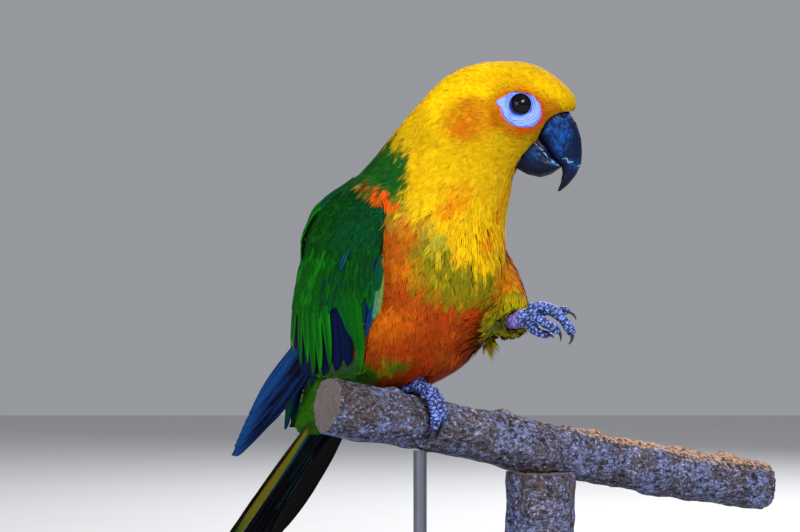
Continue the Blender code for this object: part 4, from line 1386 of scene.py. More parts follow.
@dataclass
class Wing:
    """A folded wing: coverts over its arm, then secondaries, tertials and the long flight feathers."""

    side: int
    plumes: Plumes
    chance: np.random.Generator = seeded(5)

    # The long feathers' blade: middle (forward, out, up), half width.
    DROOPED = ((-10, 28, 34, 9), (-18, 24, 26, 10), (-30, 24, 12, 10.5), (-44, 22.5, -1, 9),
               (-59, 20.5, -12, 6.8), (-71, 18.5, -22, 4.6), (-78, 17, -28.5, 1.8))
    FOLDED = ((-10, 28, 34, 9), (-18, 24, 26, 10), (-30, 21, 14, 10.5), (-41, 17.5, 4, 9.5),
              (-51, 14, -4, 7.5), (-60, 10.5, -11.5, 5.2), (-68, 7.5, -18, 1.8))
    # How much further back, in degrees, and up the front feathers of the left wing are.
    FOLD = (9, 9)
    # The broad front blade, then the tertials from the front back, then darker feathers at the back
    # and under them all: degrees round at the top, at the tip, height of the tip, half width.
    FRONT = ((8, -4, 24.5, 2.6), (4, -10.5, 18.5, 2.9), (-1, -17, 12.5, 3.1), (-6, -23, 6.8, 3.1))
    TERTIALS = ((16, -1, 7.7, 2.4), (21, 5, 5.4, 2.2), (27, 11, 4.0, 2.4), (30, 18, 8.6, 2.2),
                (34, 27, 7.4, 2.3), (38, 41, 12.5, 2.0), (45, 52, 14, 2.3), (54, 62, 17, 2.5),
                (63, 72, 21, 2.6), (72, 82, 26, 2.8))
    BACK = ((54, 58, 13, 3.0), (60, 65, 12, 3.0), (66, 72, 14, 3.0), (72, 79, 20, 3.0))
    UNDER = ((48, 40, 3, 4.0), (38, 31, 0.5, 4.0), (29, 24, -1.5, 3.8), (20, 14, 0, 3.8),
             (14, 4, 4, 3.6), (8, -5, 6, 3.4), (4, -12, 8, 3.4), (0, -13, 16, 2.8))
    # Rows of coverts from the lowest up: height of the tips, length, half width, degrees between,
    # how proud.
    ROWS = ((28, 20, 2.0, 3.4, 0.7), (32, 16, 1.9, 3.3, 0.8), (36.5, 11, 1.8, 3.2, 0.7))
    # The front edge: degrees round and height of the root and of the tip, half width, colour.
    EDGE = (((-14, 42), (-18, 21), 2.4, Hue.NAVY), ((-19, 48), (-17, 27), 2.2, Hue.NAVY),
            ((-19.5, 40), (-18, 19.5), 1.3, Hue.WING_BLUE), ((-23.5, 42), (-22.5, 27), 1.0, Hue.SAGE),
            ((-22, 42), (-20.5, 25.5), 1.5, Hue.TEAL_EDGE), ((-21, 49), (-21, 36), 1.8, Hue.WING_TEAL))
    SHADED = (Hue.NAVY, Hue.INK, Hue.NAVY)
    # What the primaries show, in turn: the outer side of the left wing's, the inner of the right's.
    FLIGHT_TINTS = {
        LEFT: ((Hue.WING_BRIGHT, Hue.WING_BLUE, Hue.WING), (Hue.WING, Hue.WING_BLUE, Hue.WING_TEAL)),
        RIGHT: ((Hue.ROYAL, Hue.NAVY, Hue.ROYAL), (Hue.NAVY, Hue.INK, Hue.ROYAL)),
    }
    primaries: int = 9
    scapulars: int = 22

    def at(self, degrees: Array, height: Array, proud: Array) -> "tuple[Array, Array]":
        """Points proud of the wing's outer face, and directions out of it.

        Args:
            degrees: how far round from the bird's side, towards the back.
            height: how high, in mm in the bird's frame.
            proud: how far outside the face, in mm.

        Returns:
            World points and directions.
        """
        forward, deep, wide = (np.interp(height, WING_HOOPS[0], row) for row in WING_HOOPS[1:])
        turn = np.radians(degrees)
        x = forward - (deep + proud) * np.sin(turn)
        y = self.side * (wide + proud) * np.cos(turn)
        out = np.stack([-np.sin(turn) / deep, self.side * np.cos(turn) / wide, 0 * x], axis=1)
        return BIRD.outside(np.stack([x, y, height + 0 * x], axis=1)), unit(BIRD.turned(out))

    def vane(self, start: Pair, end: Pair, proud: Pair, half: float, tints: Tints, bow: float = 0.0,
             **more: float) -> Vane:
        """A feather over the wing.

        Args:
            start: degrees round and height of its root.
            end: degrees round and height of its tip.
            proud: how far outside the wing's face its root and tip are, in mm.
            half: its half width, in mm.
            tints: its colours.
            bow: how many degrees its middle bows back.
            more: its other sizes.

        Returns:
            The feather.
        """
        share = np.linspace(0, 1, 13)
        degrees = start[0] + (end[0] - start[0]) * share + bow * np.sin(math.pi * share)
        height = start[1] + (end[1] - start[1]) * share
        lifted = proud[0] + (proud[1] - proud[0]) * smooth(0, 0.7, share)
        line, outs = self.at(degrees, height, lifted)
        return Vane(line, outs, half, tints, tilt=-0.1 * self.side, **more)

    def tint(self, degrees: float) -> Tints:
        """Colours of a covert, from where its tip is."""
        luck = self.chance.random()
        if degrees < 2 + 22 * luck:
            return (Hue.WING_DARK, Hue.WING_TEAL if luck > 0.45 else Hue.WING, Hue.WING)
        if luck > 0.6 and degrees > 14:
            return (Hue.WING_BRIGHT, Hue.WING, Hue.WING)
        return (Hue.WING, Hue.WING_DARK, Hue.WING_TEAL if luck < 0.15 else Hue.WING)

    def coverts(self) -> "list[Vane]":
        """Rows of narrow coverts below the small ones, each over the next, with ragged ends."""
        vanes = []
        for tip, length, half, gap, proud in self.ROWS:
            for i, degrees in enumerate(np.arange(-17, 84, gap)):
                jitter = self.chance.normal(0, 1.0, 3)
                low = tip + 1.8 * jitter[1] + 3.0 * smooth(0, -20, degrees) - 0.03 * degrees
                sweep = 1 + 0.12 * degrees
                end = (degrees + 0.8 * jitter[0], low)
                start = (end[0] - sweep, low + length)
                lift = (-0.5, proud + 0.22 * (i % 2) + 0.1 * jitter[2])
                tints = self.tint(end[0])
                vanes.append(self.vane(start, end, lift, half, tints, tip=0.5, point=0.7))
        spot = (Hue.WING_BLUE, Hue.WING, Hue.WING_BLUE)
        vanes.append(self.vane((-2, 50.5), (0.5, 43), (0.8, 1.6), 1.1, spot, tip=0.7, point=0.7))
        return vanes

    def long_row(self) -> "list[Vane]":
        """The secondaries and tertials, which hang past the coverts, over darker ones."""
        vanes = []
        back, rise = (0, 0) if self.side == RIGHT else self.FOLD
        for i, (top, tip, height, half) in enumerate(self.FRONT):
            tints = (Hue.WING, Hue.WING if i % 2 else Hue.WING_TEAL,
                     Hue.WING_BRIGHT if i == 3 else Hue.WING)
            start, end, proud = (top + back, 47), (tip + back, height + rise), (0.2, 0.5 + 0.3 * i)
            vanes.append(self.vane(start, end, proud, half, tints, tip=0.7, point=0.8, bow=1 + i))
        for i, (top, tip, height, half) in enumerate(self.TERTIALS):
            tints = (Hue.WING, Hue.WING_BRIGHT, Hue.WING_BRIGHT if i % 2 else Hue.WING)
            start, end, proud = (top, 47), (tip, height), (0.3, 0.9 + 0.25 * (i % 2))
            vanes.append(self.vane(start, end, proud, half, tints, tip=0.6, point=0.65, bow=1.5))
            start, end = (top + 5, 44), (tip + 3, height + 1.5)
            vanes.append(self.vane(start, end, (-0.4, -0.4), 3.2, self.SHADED, tip=0.4))
        tints = (Hue.WING_DARK, Hue.WING, Hue.WING)
        for top, tip, height, half in self.BACK:
            vanes.append(self.vane((top, 47), (tip, height), (-0.3, 0.2), half, tints, tip=0.5))
        for top, tip, height, half in self.UNDER:
            start, end = (top + back, 42), (tip + back, height + rise)
            vanes.append(self.vane(start, end, (-0.5, -0.4), half, self.SHADED, tip=0.5, bow=2.0))
        return vanes

    def edge(self) -> "list[Vane]":
        """The pale teal and blue feathers along the front edge, below the bend."""
        return [
            self.vane(start, end, (0.0, 0.2 + 0.1 * i), half, (hue, Hue.WING_TEAL, hue), tip=0.5)
            for i, (start, end, half, hue) in enumerate(self.EDGE)
        ]

    def shoulder(self) -> "list[Vane]":
        """Scapulars, which lie from the mantle over the wing's back edge."""
        vanes = []
        for i in range(self.scapulars):
            share = i / (self.scapulars - 1)
            jitter = self.chance.normal(0, 1.0, 2)
            start = (40 + 40 * share, 78 - 22 * share)
            end = (50 + 33 * share + jitter[0], 62 - 34 * share + jitter[1])
            tints = (Hue.MANTLE_TEAL, Hue.WING, Hue.WING)
            if i % 3:
                tints = (Hue.WING, Hue.WING_BRIGHT, Hue.WING_BRIGHT)
            proud = (-0.3, 1.2 + 0.3 * (i % 2))
            vanes.append(self.vane(start, end, proud, 1.9, tints, tip=0.5, point=0.7))
        return vanes

    def flights(self) -> "list[Vane]":
        """The primaries, fanned a little over the blade that they make together."""
        rows = np.array(self.DROOPED if self.side == RIGHT else self.FOLDED, float)
        steps = np.linspace(0, len(rows) - 1, 25)
        fine = np.stack([np.interp(steps, range(len(rows)), column) for column in rows.T], axis=1)
        kernel = np.ones(5) / 5
        padded = np.pad(fine, ((2, 2), (0, 0)), mode="edge")
        fine = np.stack([np.convolve(column, kernel, "valid") for column in padded.T], axis=1)
        fine[[0, -1]] = rows[[0, -1]]
        middle = fine[:, :3] * (1, self.side, 1)
        ahead = unit(np.gradient(middle, axis=0))
        outward = np.array((-0.55, 0.84 * self.side, 0.0))
        across = unit(np.cross(ahead, outward))
        upright = np.cross(across, ahead)
        out = unit(upright) * np.sign(upright @ outward)[:, None]
        vanes = []
        for i in range(self.primaries):
            share = i / (self.primaries - 1)
            last = int(round(24 - 7 * (1 - share) ** 1.1))
            place = (0.62 - 1.24 * share) * np.minimum(fine[:, 3], 8.5)
            place = place * (1 - smooth(0.3, 1.0, np.linspace(0, 1, 25)) * 0.45)
            line = middle + across * place[:, None] * -self.side + out * (0.9 - 0.28 * i)
            line = BIRD.outside(line[: last + 1])
            outs = BIRD.turned(out[: last + 1])
            lean, tilt = -0.3 * self.side, 0.1 * self.side
            tints = self.FLIGHT_TINTS[self.side][i % 2]
            vanes.append(Vane(line, outs, 5.4, tints, tip=0.36, lean=lean, tilt=tilt, point=0.5))
        return vanes

    def build(self) -> None:
        """Adds the wing's pieces."""
        name = SIDE_NAMES[self.side]
        node = f"flight_{name}"
        self.plumes.piece(f"flight_feathers_{name}", self.flights(), "flight_feathers", node)
        self.plumes.piece(f"secondaries_{name}", self.long_row() + self.edge(), "wing_feathers")
        self.plumes.piece(f"coverts_{name}", self.coverts() + self.shoulder(), "wing_feathers")


@dataclass
class Tail:
    """The closed tail of twelve graduated feathers, with coverts over its root."""

    plumes: Plumes

    # Coverts beside the root: start and end (forward, out, up in the bird's frame), half width,
    # colours.
    COVERTS = (
        ((-35, 15, 12), (-48, 12.5, -15), 4.0, (Hue.WING_TEAL, Hue.NAVY, Hue.WING_TEAL)),
        ((-38, 15.5, 13), (-51, 13, -18), 4.4, (Hue.WING_BRIGHT, Hue.WING_BLUE, Hue.WING_BLUE)),
        ((-40, 14.5, 14), (-50, 13.5, -6), 3.2, (Hue.WING, Hue.WING_BLUE, Hue.WING)),
    )
    # From the middle pair out: length, sideways reach and half width, in mm.
    PAIRS = ((131, 2.6, 6.4), (124, 5.2, 6.0), (114, 7.5, 5.6), (103, 9.4, 5.2), (92, 10.8, 4.7),
             (80, 11.8, 4.2))

    def build(self) -> None:
        """Adds the tail's feathers."""
        vanes = []
        for pair, (length, reach, half) in reversed(list(enumerate(self.PAIRS))):
            for side in (LEFT, RIGHT):
                share = np.linspace(0, 1, 15)
                along = 4 + (length - 4) * share
                reached = along / self.PAIRS[0][0]
                opened = (0.8 + 0.2 * smooth(0, 0.5, reached)) * (1 - 0.45 * smooth(0.55, 1.0, reached))
                spread = reach * opened
                drop = 6.0 * (spread / 17.5) ** 2 + 0.4 * pair
                upward = np.stack([0 * along, -side * spread * 0.035, 1 + 0 * along], axis=1)
                outs = unit(TAIL.turned(upward))
                lean, tilt = 0.2 * side, 0.05 * side
                for rise, tints in ((1.2, self.upper(pair)), (0.5, self.under(pair, side))):
                    line = TAIL.outside(np.stack([along, -side * spread, rise - drop], axis=1))
                    vanes.append(
                        Vane(line, outs, half, tints, tip=0.3, lean=lean, tilt=tilt, point=0.6)
                    )
        self.plumes.piece("tail_feathers", vanes + self.coverts(), "tail_feathers", "tail")

    @staticmethod
    def upper(pair: int) -> Tints:
        """Colours of a feather's upper side."""
        return (Hue.TAIL_OLIVE, Hue.TAIL_OLIVE if pair == 0 else Hue.TAIL_TEAL, Hue.ROYAL)

    @staticmethod
    def under(pair: int, side: int) -> Tints:
        """Colours of a feather's underside, which is dark but for the olive outer ones on the right."""
        if side == RIGHT and pair > 2:
            return (Hue.TAIL_OLIVE, Hue.TAIL_OLIVE, Hue.VENT)
        if side == RIGHT and pair == 2:
            return (Hue.TAIL_TEAL, Hue.TAIL_TEAL, Hue.ROYAL)
        return (Hue.TAIL_DARK, Hue.INK, Hue.TAIL_DARK)

    def coverts(self) -> "list[Vane]":
        """The long coverts that hang beside the tail's root, on both sides."""
        vanes = []
        share = np.linspace(0, 1, 13)[:, None]
        for side in (LEFT, RIGHT):
            out = np.tile(unit(np.array([(-0.45, 0.9 * side, 0.1)])), (13, 1))
            for start, end, half, tints in self.COVERTS:
                line = np.array(start, float) * (1 - share) + np.array(end, float) * share
                line[:, 0] -= 1.5 * np.sin(math.pi * share[:, 0])
                line, outs = BIRD.outside(line * (1, side, 1)), BIRD.turned(out)
                vanes.append(Vane(line, outs, half, tints, tip=0.5, point=0.6, lean=-0.2 * side))
        return vanes


@dataclass
class Bill:
    """The hooked bill: two horn pieces with worn edges and nostrils, and a dark mouth between."""

    # The cutting edges, from the gape to the tip: forward and up, in mm from the head's centre.
    UPPER_EDGE = ((0, -9), (4.2, -12.4), (6.4, -15.8), (8.6, -19), (10.8, -21.6), (13.2, -22.9),
                  (13.6, -26.2), (13, -30))
    LOWER_EDGE = ((-0.4, -12.9), (4.3, -14.3), (7.2, -17.2), (9.8, -20.4), (12.2, -22.2), (13.2, -23.2))
    # Where a layer of the hook's horn has broken away.
    BREAK = ((13.6, -21.4), (15.4, -21.0), (16.2, -22.6), (17.4, -22.4), (18.6, -24.2), (20.4, -23.4))
    NOSTRIL = (14.4, -5.6)
    # The swollen edge of the cere, and the line of painted highlight down the cheek of the hook.
    CERE = ((16.6, -5.4), (14.6, -6.6), (11.5, -7.6), (8.0, -11.6))
    PAINTED_HIGHLIGHT_LINE = ((11, -16), (14, -21.5), (18.5, -23.5))
    voxel: float = 0.32

    def gap_to(self, line: "tuple[Pair, ...]", ahead: Array, up: Array) -> Array:
        """How far points are from a line seen from the side, in mm."""
        found = np.full(len(ahead), 99.0)
        ends = np.array(line, float)
        for first, second in zip(ends, ends[1:]):
            along = second - first
            share = ((ahead - first[0]) * along[0] + (up - first[1]) * along[1]) / (along @ along)
            share = np.clip(share, 0, 1)
            gap = np.hypot(ahead - first[0] - share * along[0], up - first[1] - share * along[1])
            found = np.minimum(found, gap)
        return found

    def horn(self, node: str, finish: bpy.types.Material) -> None:
        """Makes one bill piece from its CAD solid, with growth lines, flakes, worn edges, painted
        highlights and painted shade.
        """
        mesh = remeshed(solids(node), self.voxel, 3)
        points = points_of(mesh)
        ahead, side, up = HEAD.inside(points).T
        rough = noise(points, 1.5 * MM, 21) + 0.6 * noise(points, 0.7 * MM, 22)
        fine = noise(points * (1, 1, 0.4), 0.5 * MM, 23)
        if node == "bill_upper":
            rise, flaking_and_painted_light = self.upper(ahead, side, up, rough, fine)
        else:
            rise, flaking_and_painted_light = self.lower(ahead, up, rough, fine)
        push_out(mesh, rise)
        write(mesh, "flaking_and_painted_light", np.clip(flaking_and_painted_light, 0, 1))
        add_piece(node.replace("bill", "horn"), mesh, finish, "bill_horn", node)

    def upper(self, ahead: Array, side: Array, up: Array, rough: Array,
              fine: Array) -> "tuple[Array, Array]":
        """The upper bill's relief, in mm, and its flaking, painted highlight and painted shade."""
        edge = self.gap_to(self.UPPER_EDGE, ahead, up)
        round_hook = np.hypot(ahead - 2, up + 18)
        rise = 0.03 * np.sin(round_hook * 2 * math.pi / 1.5 + 2.0 * rough) + 0.05 * rough + 0.03 * fine
        rise += 0.14 * smooth(1.4, 0.6, edge + 0.2 * rough) * smooth(0.8, 2.5, np.abs(side))
        broken = self.gap_to(self.BREAK, ahead, up)
        rise += 0.12 * smooth(0.9, 0.0, broken) + 0.1 * smooth(-24.4, -21.6, up + 0.4 * rough)
        nostril = np.hypot(ahead - self.NOSTRIL[0], up - self.NOSTRIL[1])
        cere = self.gap_to(self.CERE, ahead, up)
        rise += 0.22 * smooth(1.9, 0.5, cere) - 0.5 * smooth(1.1, 0.5, nostril)
        # Painted shade in the nostril and along the cutting edge, darker towards the hook's tip and in
        # random spots.
        dark = smooth(1.4, 0.8, nostril) + smooth(3.4, 0.8, edge + 0.5 * rough) * 0.6
        dark += smooth(-25, -31, up) * 0.4
        dark += smooth(0.6, 1.6, rough) * 0.3
        # Painted highlights: a patch on the side, along the swollen edge of the cere and down the cheek
        # of the hook.
        light = smooth(5.4, 1.2, np.hypot(ahead - 13.4, (up + 12.5) * 0.7) + 0.8 * rough) * 0.9
        light += smooth(1.7, 0.3, cere + 0.4 * fine) * 0.9
        light += smooth(2.6, 0.5, self.gap_to(self.PAINTED_HIGHLIGHT_LINE, ahead, up) + 0.6 * rough) * 0.5
        pale = smooth(0.5, 0.1, broken + 0.25 * fine) * smooth(-0.7, 0.1, rough)
        pale += smooth(0.5, 0.12, edge) * smooth(-19, -22, up) * smooth(-30, -27, up)
        pale += smooth(0.8, 0.1, cere + 0.3 * rough) * smooth(0.0, 0.5, rough + fine) * 0.6
        pale += smooth(0.7, 1.1, rough + fine) * smooth(2.5, 0.5, broken) * 0.5
        return rise, np.stack([pale, light, dark], axis=1)

    def lower(self, ahead: Array, up: Array, rough: Array,
              fine: Array) -> "tuple[Array, Array]":
        """The lower bill's relief, in mm, and its flaking, painted highlight and painted shade."""
        edge = self.gap_to(self.LOWER_EDGE, ahead, up)
        lip = edge + 0.25 * rough
        rise = 0.05 * rough + 0.03 * fine + 0.16 * smooth(1.7, 0.9, lip)
        tip = smooth(2.4, 0.6, np.hypot(ahead - 10.6, up + 22.4) + 0.5 * rough)
        # Painted shade along the cutting edge and darker towards the bottom; painted highlight on the
        # side and at the tip.
        dark = smooth(-20, -26, up) * 0.5 + smooth(0.9, 0.2, edge) * 0.7
        light = smooth(4.0, 1.0, np.hypot(ahead - 4.0, up + 19.5) + 0.6 * rough) * 0.5 + tip * 0.6
        pale = smooth(0.42, 0.1, np.abs(lip - 1.2)) * smooth(-0.5, 0.3, rough + fine)
        pale *= smooth(-4, 1, ahead)
        pale += tip * smooth(0.1, 0.6, rough + fine) * 0.9
        return rise, np.stack([pale, light, dark], axis=1)

    def mouth(self, finish: bpy.types.Material) -> None:
        """Adds the dark tongue and lining that fill the gap between the two halves."""
        bm = bmesh.new()
        at = HEAD.matrix @ Matrix.Translation(Vector((5.2, 0, -17.2)) * MM)
        turned = at @ Matrix.Rotation(math.radians(48), 4, "Y")
        shape = turned @ Matrix.Diagonal((7.6 * MM, 3.4 * MM, 3.2 * MM, 1))
        bmesh.ops.create_icosphere(bm, subdivisions=4, radius=1.0, matrix=shape)
        mesh = mesh_of(bm, "mouth_lining")
        points = points_of(mesh)
        folds = noise(points, 0.9 * MM, 24) + 0.5 * noise(points, 0.4 * MM, 25)
        push_out(mesh, 0.2 * folds)
        # Painted highlight on the raised folds; the third value makes it dark all over.
        flaking_and_painted_light = [0 * folds, smooth(0.3, 1.2, folds) * 0.3, 0.75 + 0 * folds]
        write(mesh, "flaking_and_painted_light", np.stack(flaking_and_painted_light, axis=1))
        add_piece("mouth_lining", mesh, finish, "bill_horn")

    def build(self) -> None:
        """Adds both bill pieces and what shows between them."""
        finish = HornFinish().material()
        for node in BILL_NODES:
            self.horn(node, finish)
        self.mouth(finish)


@dataclass
class Eyeball:
    """An eye: a glossy ball with a slight bulge over the iris."""

    side: int
    bulge: float = 0.35

    def build(self, finish: bpy.types.Material) -> None:
        """Adds the eye in place of its CAD ball."""
        low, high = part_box(f"eye_{SIDE_NAMES[self.side]}")
        middle = HEAD.outside(np.array([EYE * (1, self.side, 1)]))[0]
        radius = min(b - a for a, b in zip(low, high)) / 2
        bm = bmesh.new()
        turn = HEAD.matrix.to_3x3().to_4x4() @ Matrix.Rotation(math.radians(90), 4, "X")
        at = Matrix.Translation(Vector(middle)) @ turn
        bmesh.ops.create_uvsphere(bm, u_segments=48, v_segments=32, radius=radius, matrix=at)
        mesh = mesh_of(bm, f"eyeball_{SIDE_NAMES[self.side]}")
        local = HEAD.inside(points_of(mesh)) - EYE * (1, self.side, 1)
        reach = np.hypot(local[:, 0], local[:, 2])
        front = local[:, 1] * self.side > 0
        local[:, 1] += self.side * np.where(front, self.bulge * (1 - smooth(0, 3.2, reach)), 0)
        set_points(mesh, HEAD.outside(local + EYE * (1, self.side, 1)))
        reach = np.where(front, reach, 9.0)
        turned = np.arctan2(local[:, 2], local[:, 0])
        write(mesh, "iris", np.stack([reach, turned, local[:, 0]], axis=1))
        add_piece(mesh.name, mesh, finish, "eye", f"eye_{SIDE_NAMES[self.side]}")


@dataclass
class Foot:
    """A foot's scaled skin and its claws."""

    side: int
    voxel: float = 0.3
    scute_gap: float = 1.5
    scute_wide: float = 2.8
    groove: float = 0.3
    scatter: int = 6000
    # How far apart the places are where a toe's direction is found, and how much of it each sees.
    way_gap: float = 0.8
    way_reach: float = 3.4
    # The claws along the bark: length, radius at the toe, how far off the wood their tips are,
    # divisions.
    claw_length: float = 8.0
    claw_radius: float = 1.35
    claw_rest: float = 1.2
    claw_steps: int = 8
    chance: np.random.Generator = seeded(13)

    def build(self, skin: bpy.types.Material, horn: bpy.types.Material) -> None:
        """Adds the foot and its claws."""
        name = SIDE_NAMES[self.side]
        mesh = remeshed(solids(f"foot_{name}", grown=0.05), self.voxel, 3)
        points = points_of(mesh)
        wander = np.stack([noise(points, 1.1 * MM, seed) for seed in (31, 32, 33)], axis=1) * 0.16 * MM
        gaps, cell, count = self.cells(Surface(mesh), points + wander)
        groove = smooth(0.5, 0.08, gaps)
        shin = self.shin_share(points)
        luck = self.chance.random(count)[cell]
        push_out(mesh, self.groove * (smooth(0.0, 0.6, gaps) - 0.6) * (1 - 0.5 * shin))
        write(mesh, "scale", np.stack([groove, shin, luck], axis=1))
        add_piece(f"scaled_foot_{name}", mesh, skin, "foot_skin", f"foot_{name}")
        nodes = [f"claw_{name}_{toe}" for toe in TOES]
        claws = solids(*nodes) if self.side == LEFT else self.resting(nodes)
        claws = with_modifier(claws, "SUBSURF", levels=2, render_levels=2)
        add_piece(f"claws_{name}", claws, horn, "claw_horn", *nodes)

    def resting(self, nodes: "list[str]") -> bpy.types.Mesh:
        """The standing foot's claws, which lie along the bark from the ends of its toes.

        Args:
            nodes: their CAD nodes.

        Returns:
            A mesh of them all, coarse.
        """
        wood, flesh = Surface(solids("perch_branch")), Surface(solids("foot_right"))
        shape = bmesh.new()
        for node in nodes:
            points = points_of(solids(node))
            gaps = flesh.nearest(points)[2]
            spot = points[gaps < gaps.min() + 0.6 * MM].mean(axis=0)
            ahead = unit(points[gaps.argmax()] - spot)
            lift = wood.nearest(spot[None])[2][0]
            line, outs = [], []
            for share in np.linspace(0, 1, self.claw_steps + 1):
                place, out, _ = (found[0] for found in wood.nearest(spot[None]))
                ahead = unit(ahead - out * (ahead @ out))
                line.append(place + out * (lift + (self.claw_rest * MM - lift) * share))
                outs.append(out)
                spot = line[-1] + ahead * (self.claw_length * MM / self.claw_steps)
            line, outs = np.array(line), np.array(outs)
            across = unit(np.cross(np.gradient(line, axis=0), outs))
            grid = bmesh.ops.create_grid(shape, x_segments=8, y_segments=self.claw_steps, size=1.0)
            for vert in grid["verts"]:
                turn = math.pi * vert.co.x
                step = round((vert.co.y / 2 + 0.5) * self.claw_steps)
                radius = self.claw_radius * MM * (1 - step / self.claw_steps) ** 0.75
                rim = outs[step] * math.cos(turn) + 0.8 * across[step] * math.sin(turn)
                vert.co = Vector(line[step] + radius * rim)
        bmesh.ops.remove_doubles(shape, verts=shape.verts, dist=0.02 * MM)
        bmesh.ops.recalc_face_normals(shape, faces=shape.faces)
        return mesh_of(shape, "claws")

    def cells(self, surface: Surface, points: Array) -> "tuple[Array, Array, int]":
        """The scutes, which lie across the toes.

        Args:
            surface: the foot's surface.
            points: places on it.

        Returns:
            How far each place is from a groove, in mm, which scute it is in, and how many there are.
        """
        spots, outs = surface.scattered(self.scatter, self.chance)
        picked = thinned(spots, np.full(len(spots), self.way_gap * MM))
        spots, outs = spots[picked], outs[picked]
        near = tree_of(spots)
        ways = np.empty_like(spots)
        for i, spot in enumerate(spots.tolist()):
            group = spots[[index for _, index, _ in near.find_range(spot, self.way_reach * MM)]]
            spread = group - group.mean(axis=0)
            ways[i] = np.linalg.eigh(spread.T @ spread)[1][:, 2]
        centres, _ = surface.scattered(self.scatter, self.chance)
        centres = centres[thinned(centres, np.full(len(centres), self.scute_gap * MM))]
        toes = tree_of(centres)
        gaps, cell = np.empty(len(points)), np.empty(len(points), int)
        for i, point in enumerate(points.tolist()):
            way = ways[near.find(point)[1]]
            index = [found[1] for found in toes.find_n(point, 12)]
            away = centres[index] - point
            along = away @ way
            across = np.linalg.norm(away - along[:, None] * way, axis=1) / self.scute_wide
            reach = np.hypot(along, across)
            first, second = np.argsort(reach)[:2]
            gaps[i] = (reach[second] - reach[first]) / MM
            cell[i] = index[first]
        return gaps, cell, len(centres)

    def shin_share(self, points: Array) -> Array:
        """How much of a point is bare shin, which is smoother and more lilac than the toes."""
        bird = BIRD.inside(points)
        if self.side == LEFT:
            return smooth(50, 45, bird[:, 0])
        return smooth(1, 5, bird[:, 2])


@dataclass
class Perch:
    """The cut branch and the post under it, in cracked and flaking bark."""

    # Stubs where shoots grew: how far along, and how far up from the front they face.
    KNOTS = ((0.14, 1.9), (0.3, 0.5), (0.38, 1.5), (0.46, -0.5), (0.58, 1.2), (0.66, 0.1),
             (0.78, 0.9), (0.9, 1.6))
    voxel: float = 0.75
    # How far the bark gives way under the claws, in mm.
    pressed: float = 1.4

    def __post_init__(self) -> None:
        """Finds the claws that rest on the bark."""
        self.claws = Surface(solids(*[f"claw_right_{toe}" for toe in TOES]))

    def barked(self, node: str, finish: bpy.types.Material, axis: Vector) -> None:
        """Makes a piece of wood from its CAD solid.

        Args:
            node: the CAD node.
            finish: its material.
            axis: the direction of its grain.
        """
        mesh = remeshed(solids(node), self.voxel, 2)
        points, normals = points_of(mesh), points_of(mesh, "normal")
        grain = np.array(axis.normalized())
        along = points @ grain
        flat = points - np.outer(along, grain)
        stretched = flat + np.outer(along * 0.28, grain)
        end = smooth(0.6, 0.85, np.abs(normals @ grain))
        plates = noise(stretched, 2.4 * MM, 41) + 0.6 * noise(stretched, 1.2 * MM, 42)
        crack = smooth(0.16, 0.0, np.abs(plates + 0.2)) * smooth(-0.1, 0.6, noise(points, 9 * MM, 43))
        lumps = noise(points, 12 * MM, 44) + 0.6 * noise(points, 5 * MM, 45)
        knots = np.zeros(len(points))
        low, high = np.array(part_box(node))
        for share, turn in self.KNOTS:
            spot = low + (high - low) * share
            gap = np.abs(along - spot @ grain) / MM
            facing = normals @ np.array((0.0, -math.cos(turn), math.sin(turn)))
            knots += np.exp(-((gap / 3.4) ** 2)) * smooth(0.45, 0.95, facing)
        rings = np.sin(np.linalg.norm(flat - flat.mean(axis=0), axis=1) / MM * 4.2 + 1.6 * lumps)
        rise = 0.6 * lumps + 0.45 * plates - 0.7 * crack + 1.7 * knots
        rise = rise * (1 - end) + end * (0.07 * rings + 0.25 * plates)
        rise -= 0.35 + self.pressed * smooth(2.5 * MM, 0.8 * MM, self.claws.nearest(points)[2])
        push_out(mesh, rise)
        rightward = (points[:, 0] - low[0]) / (high[0] - low[0])
        # Painted warm light on the faces that look up, towards the branch's right end; tan also on the
        # knots.
        worn = smooth(0.35, 0.95, normals[:, 2]) * smooth(0.2, 0.7, rightward)
        crack = crack * (1 - end) + end * smooth(0.4, 1.0, rings) * 0.35
        write(mesh, "bark", np.stack([crack, np.clip(worn + 0.3 * knots, 0, 1), end], axis=1))
        add_piece(node.replace("perch", "bark"), mesh, finish, "bark", node)

    def build(self) -> None:
        """Adds the branch and the post."""
        finish = BarkFinish().material()
        low, high = (Vector(end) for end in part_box("perch_branch"))
        run = Vector((high.x - low.x, high.y - low.y, low.z - high.z))
        run.z *= 0.62
        self.barked("perch_branch", finish, run)
        self.barked("perch_post", finish, Vector((0, 0, 1)))


@dataclass
class Stand:
    """The plain steel display stand."""

    NODES = ("stand_base", "stand_rod_front", "stand_rod_back")

    def build(self) -> None:
        """Dresses the stand's solids."""
        finish = MetalFinish().material()
        for node in self.NODES:
            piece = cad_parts[node]
            for slot in piece.material_slots:
                slot.material = finish
            LOG.info("%s: brushed steel", node)


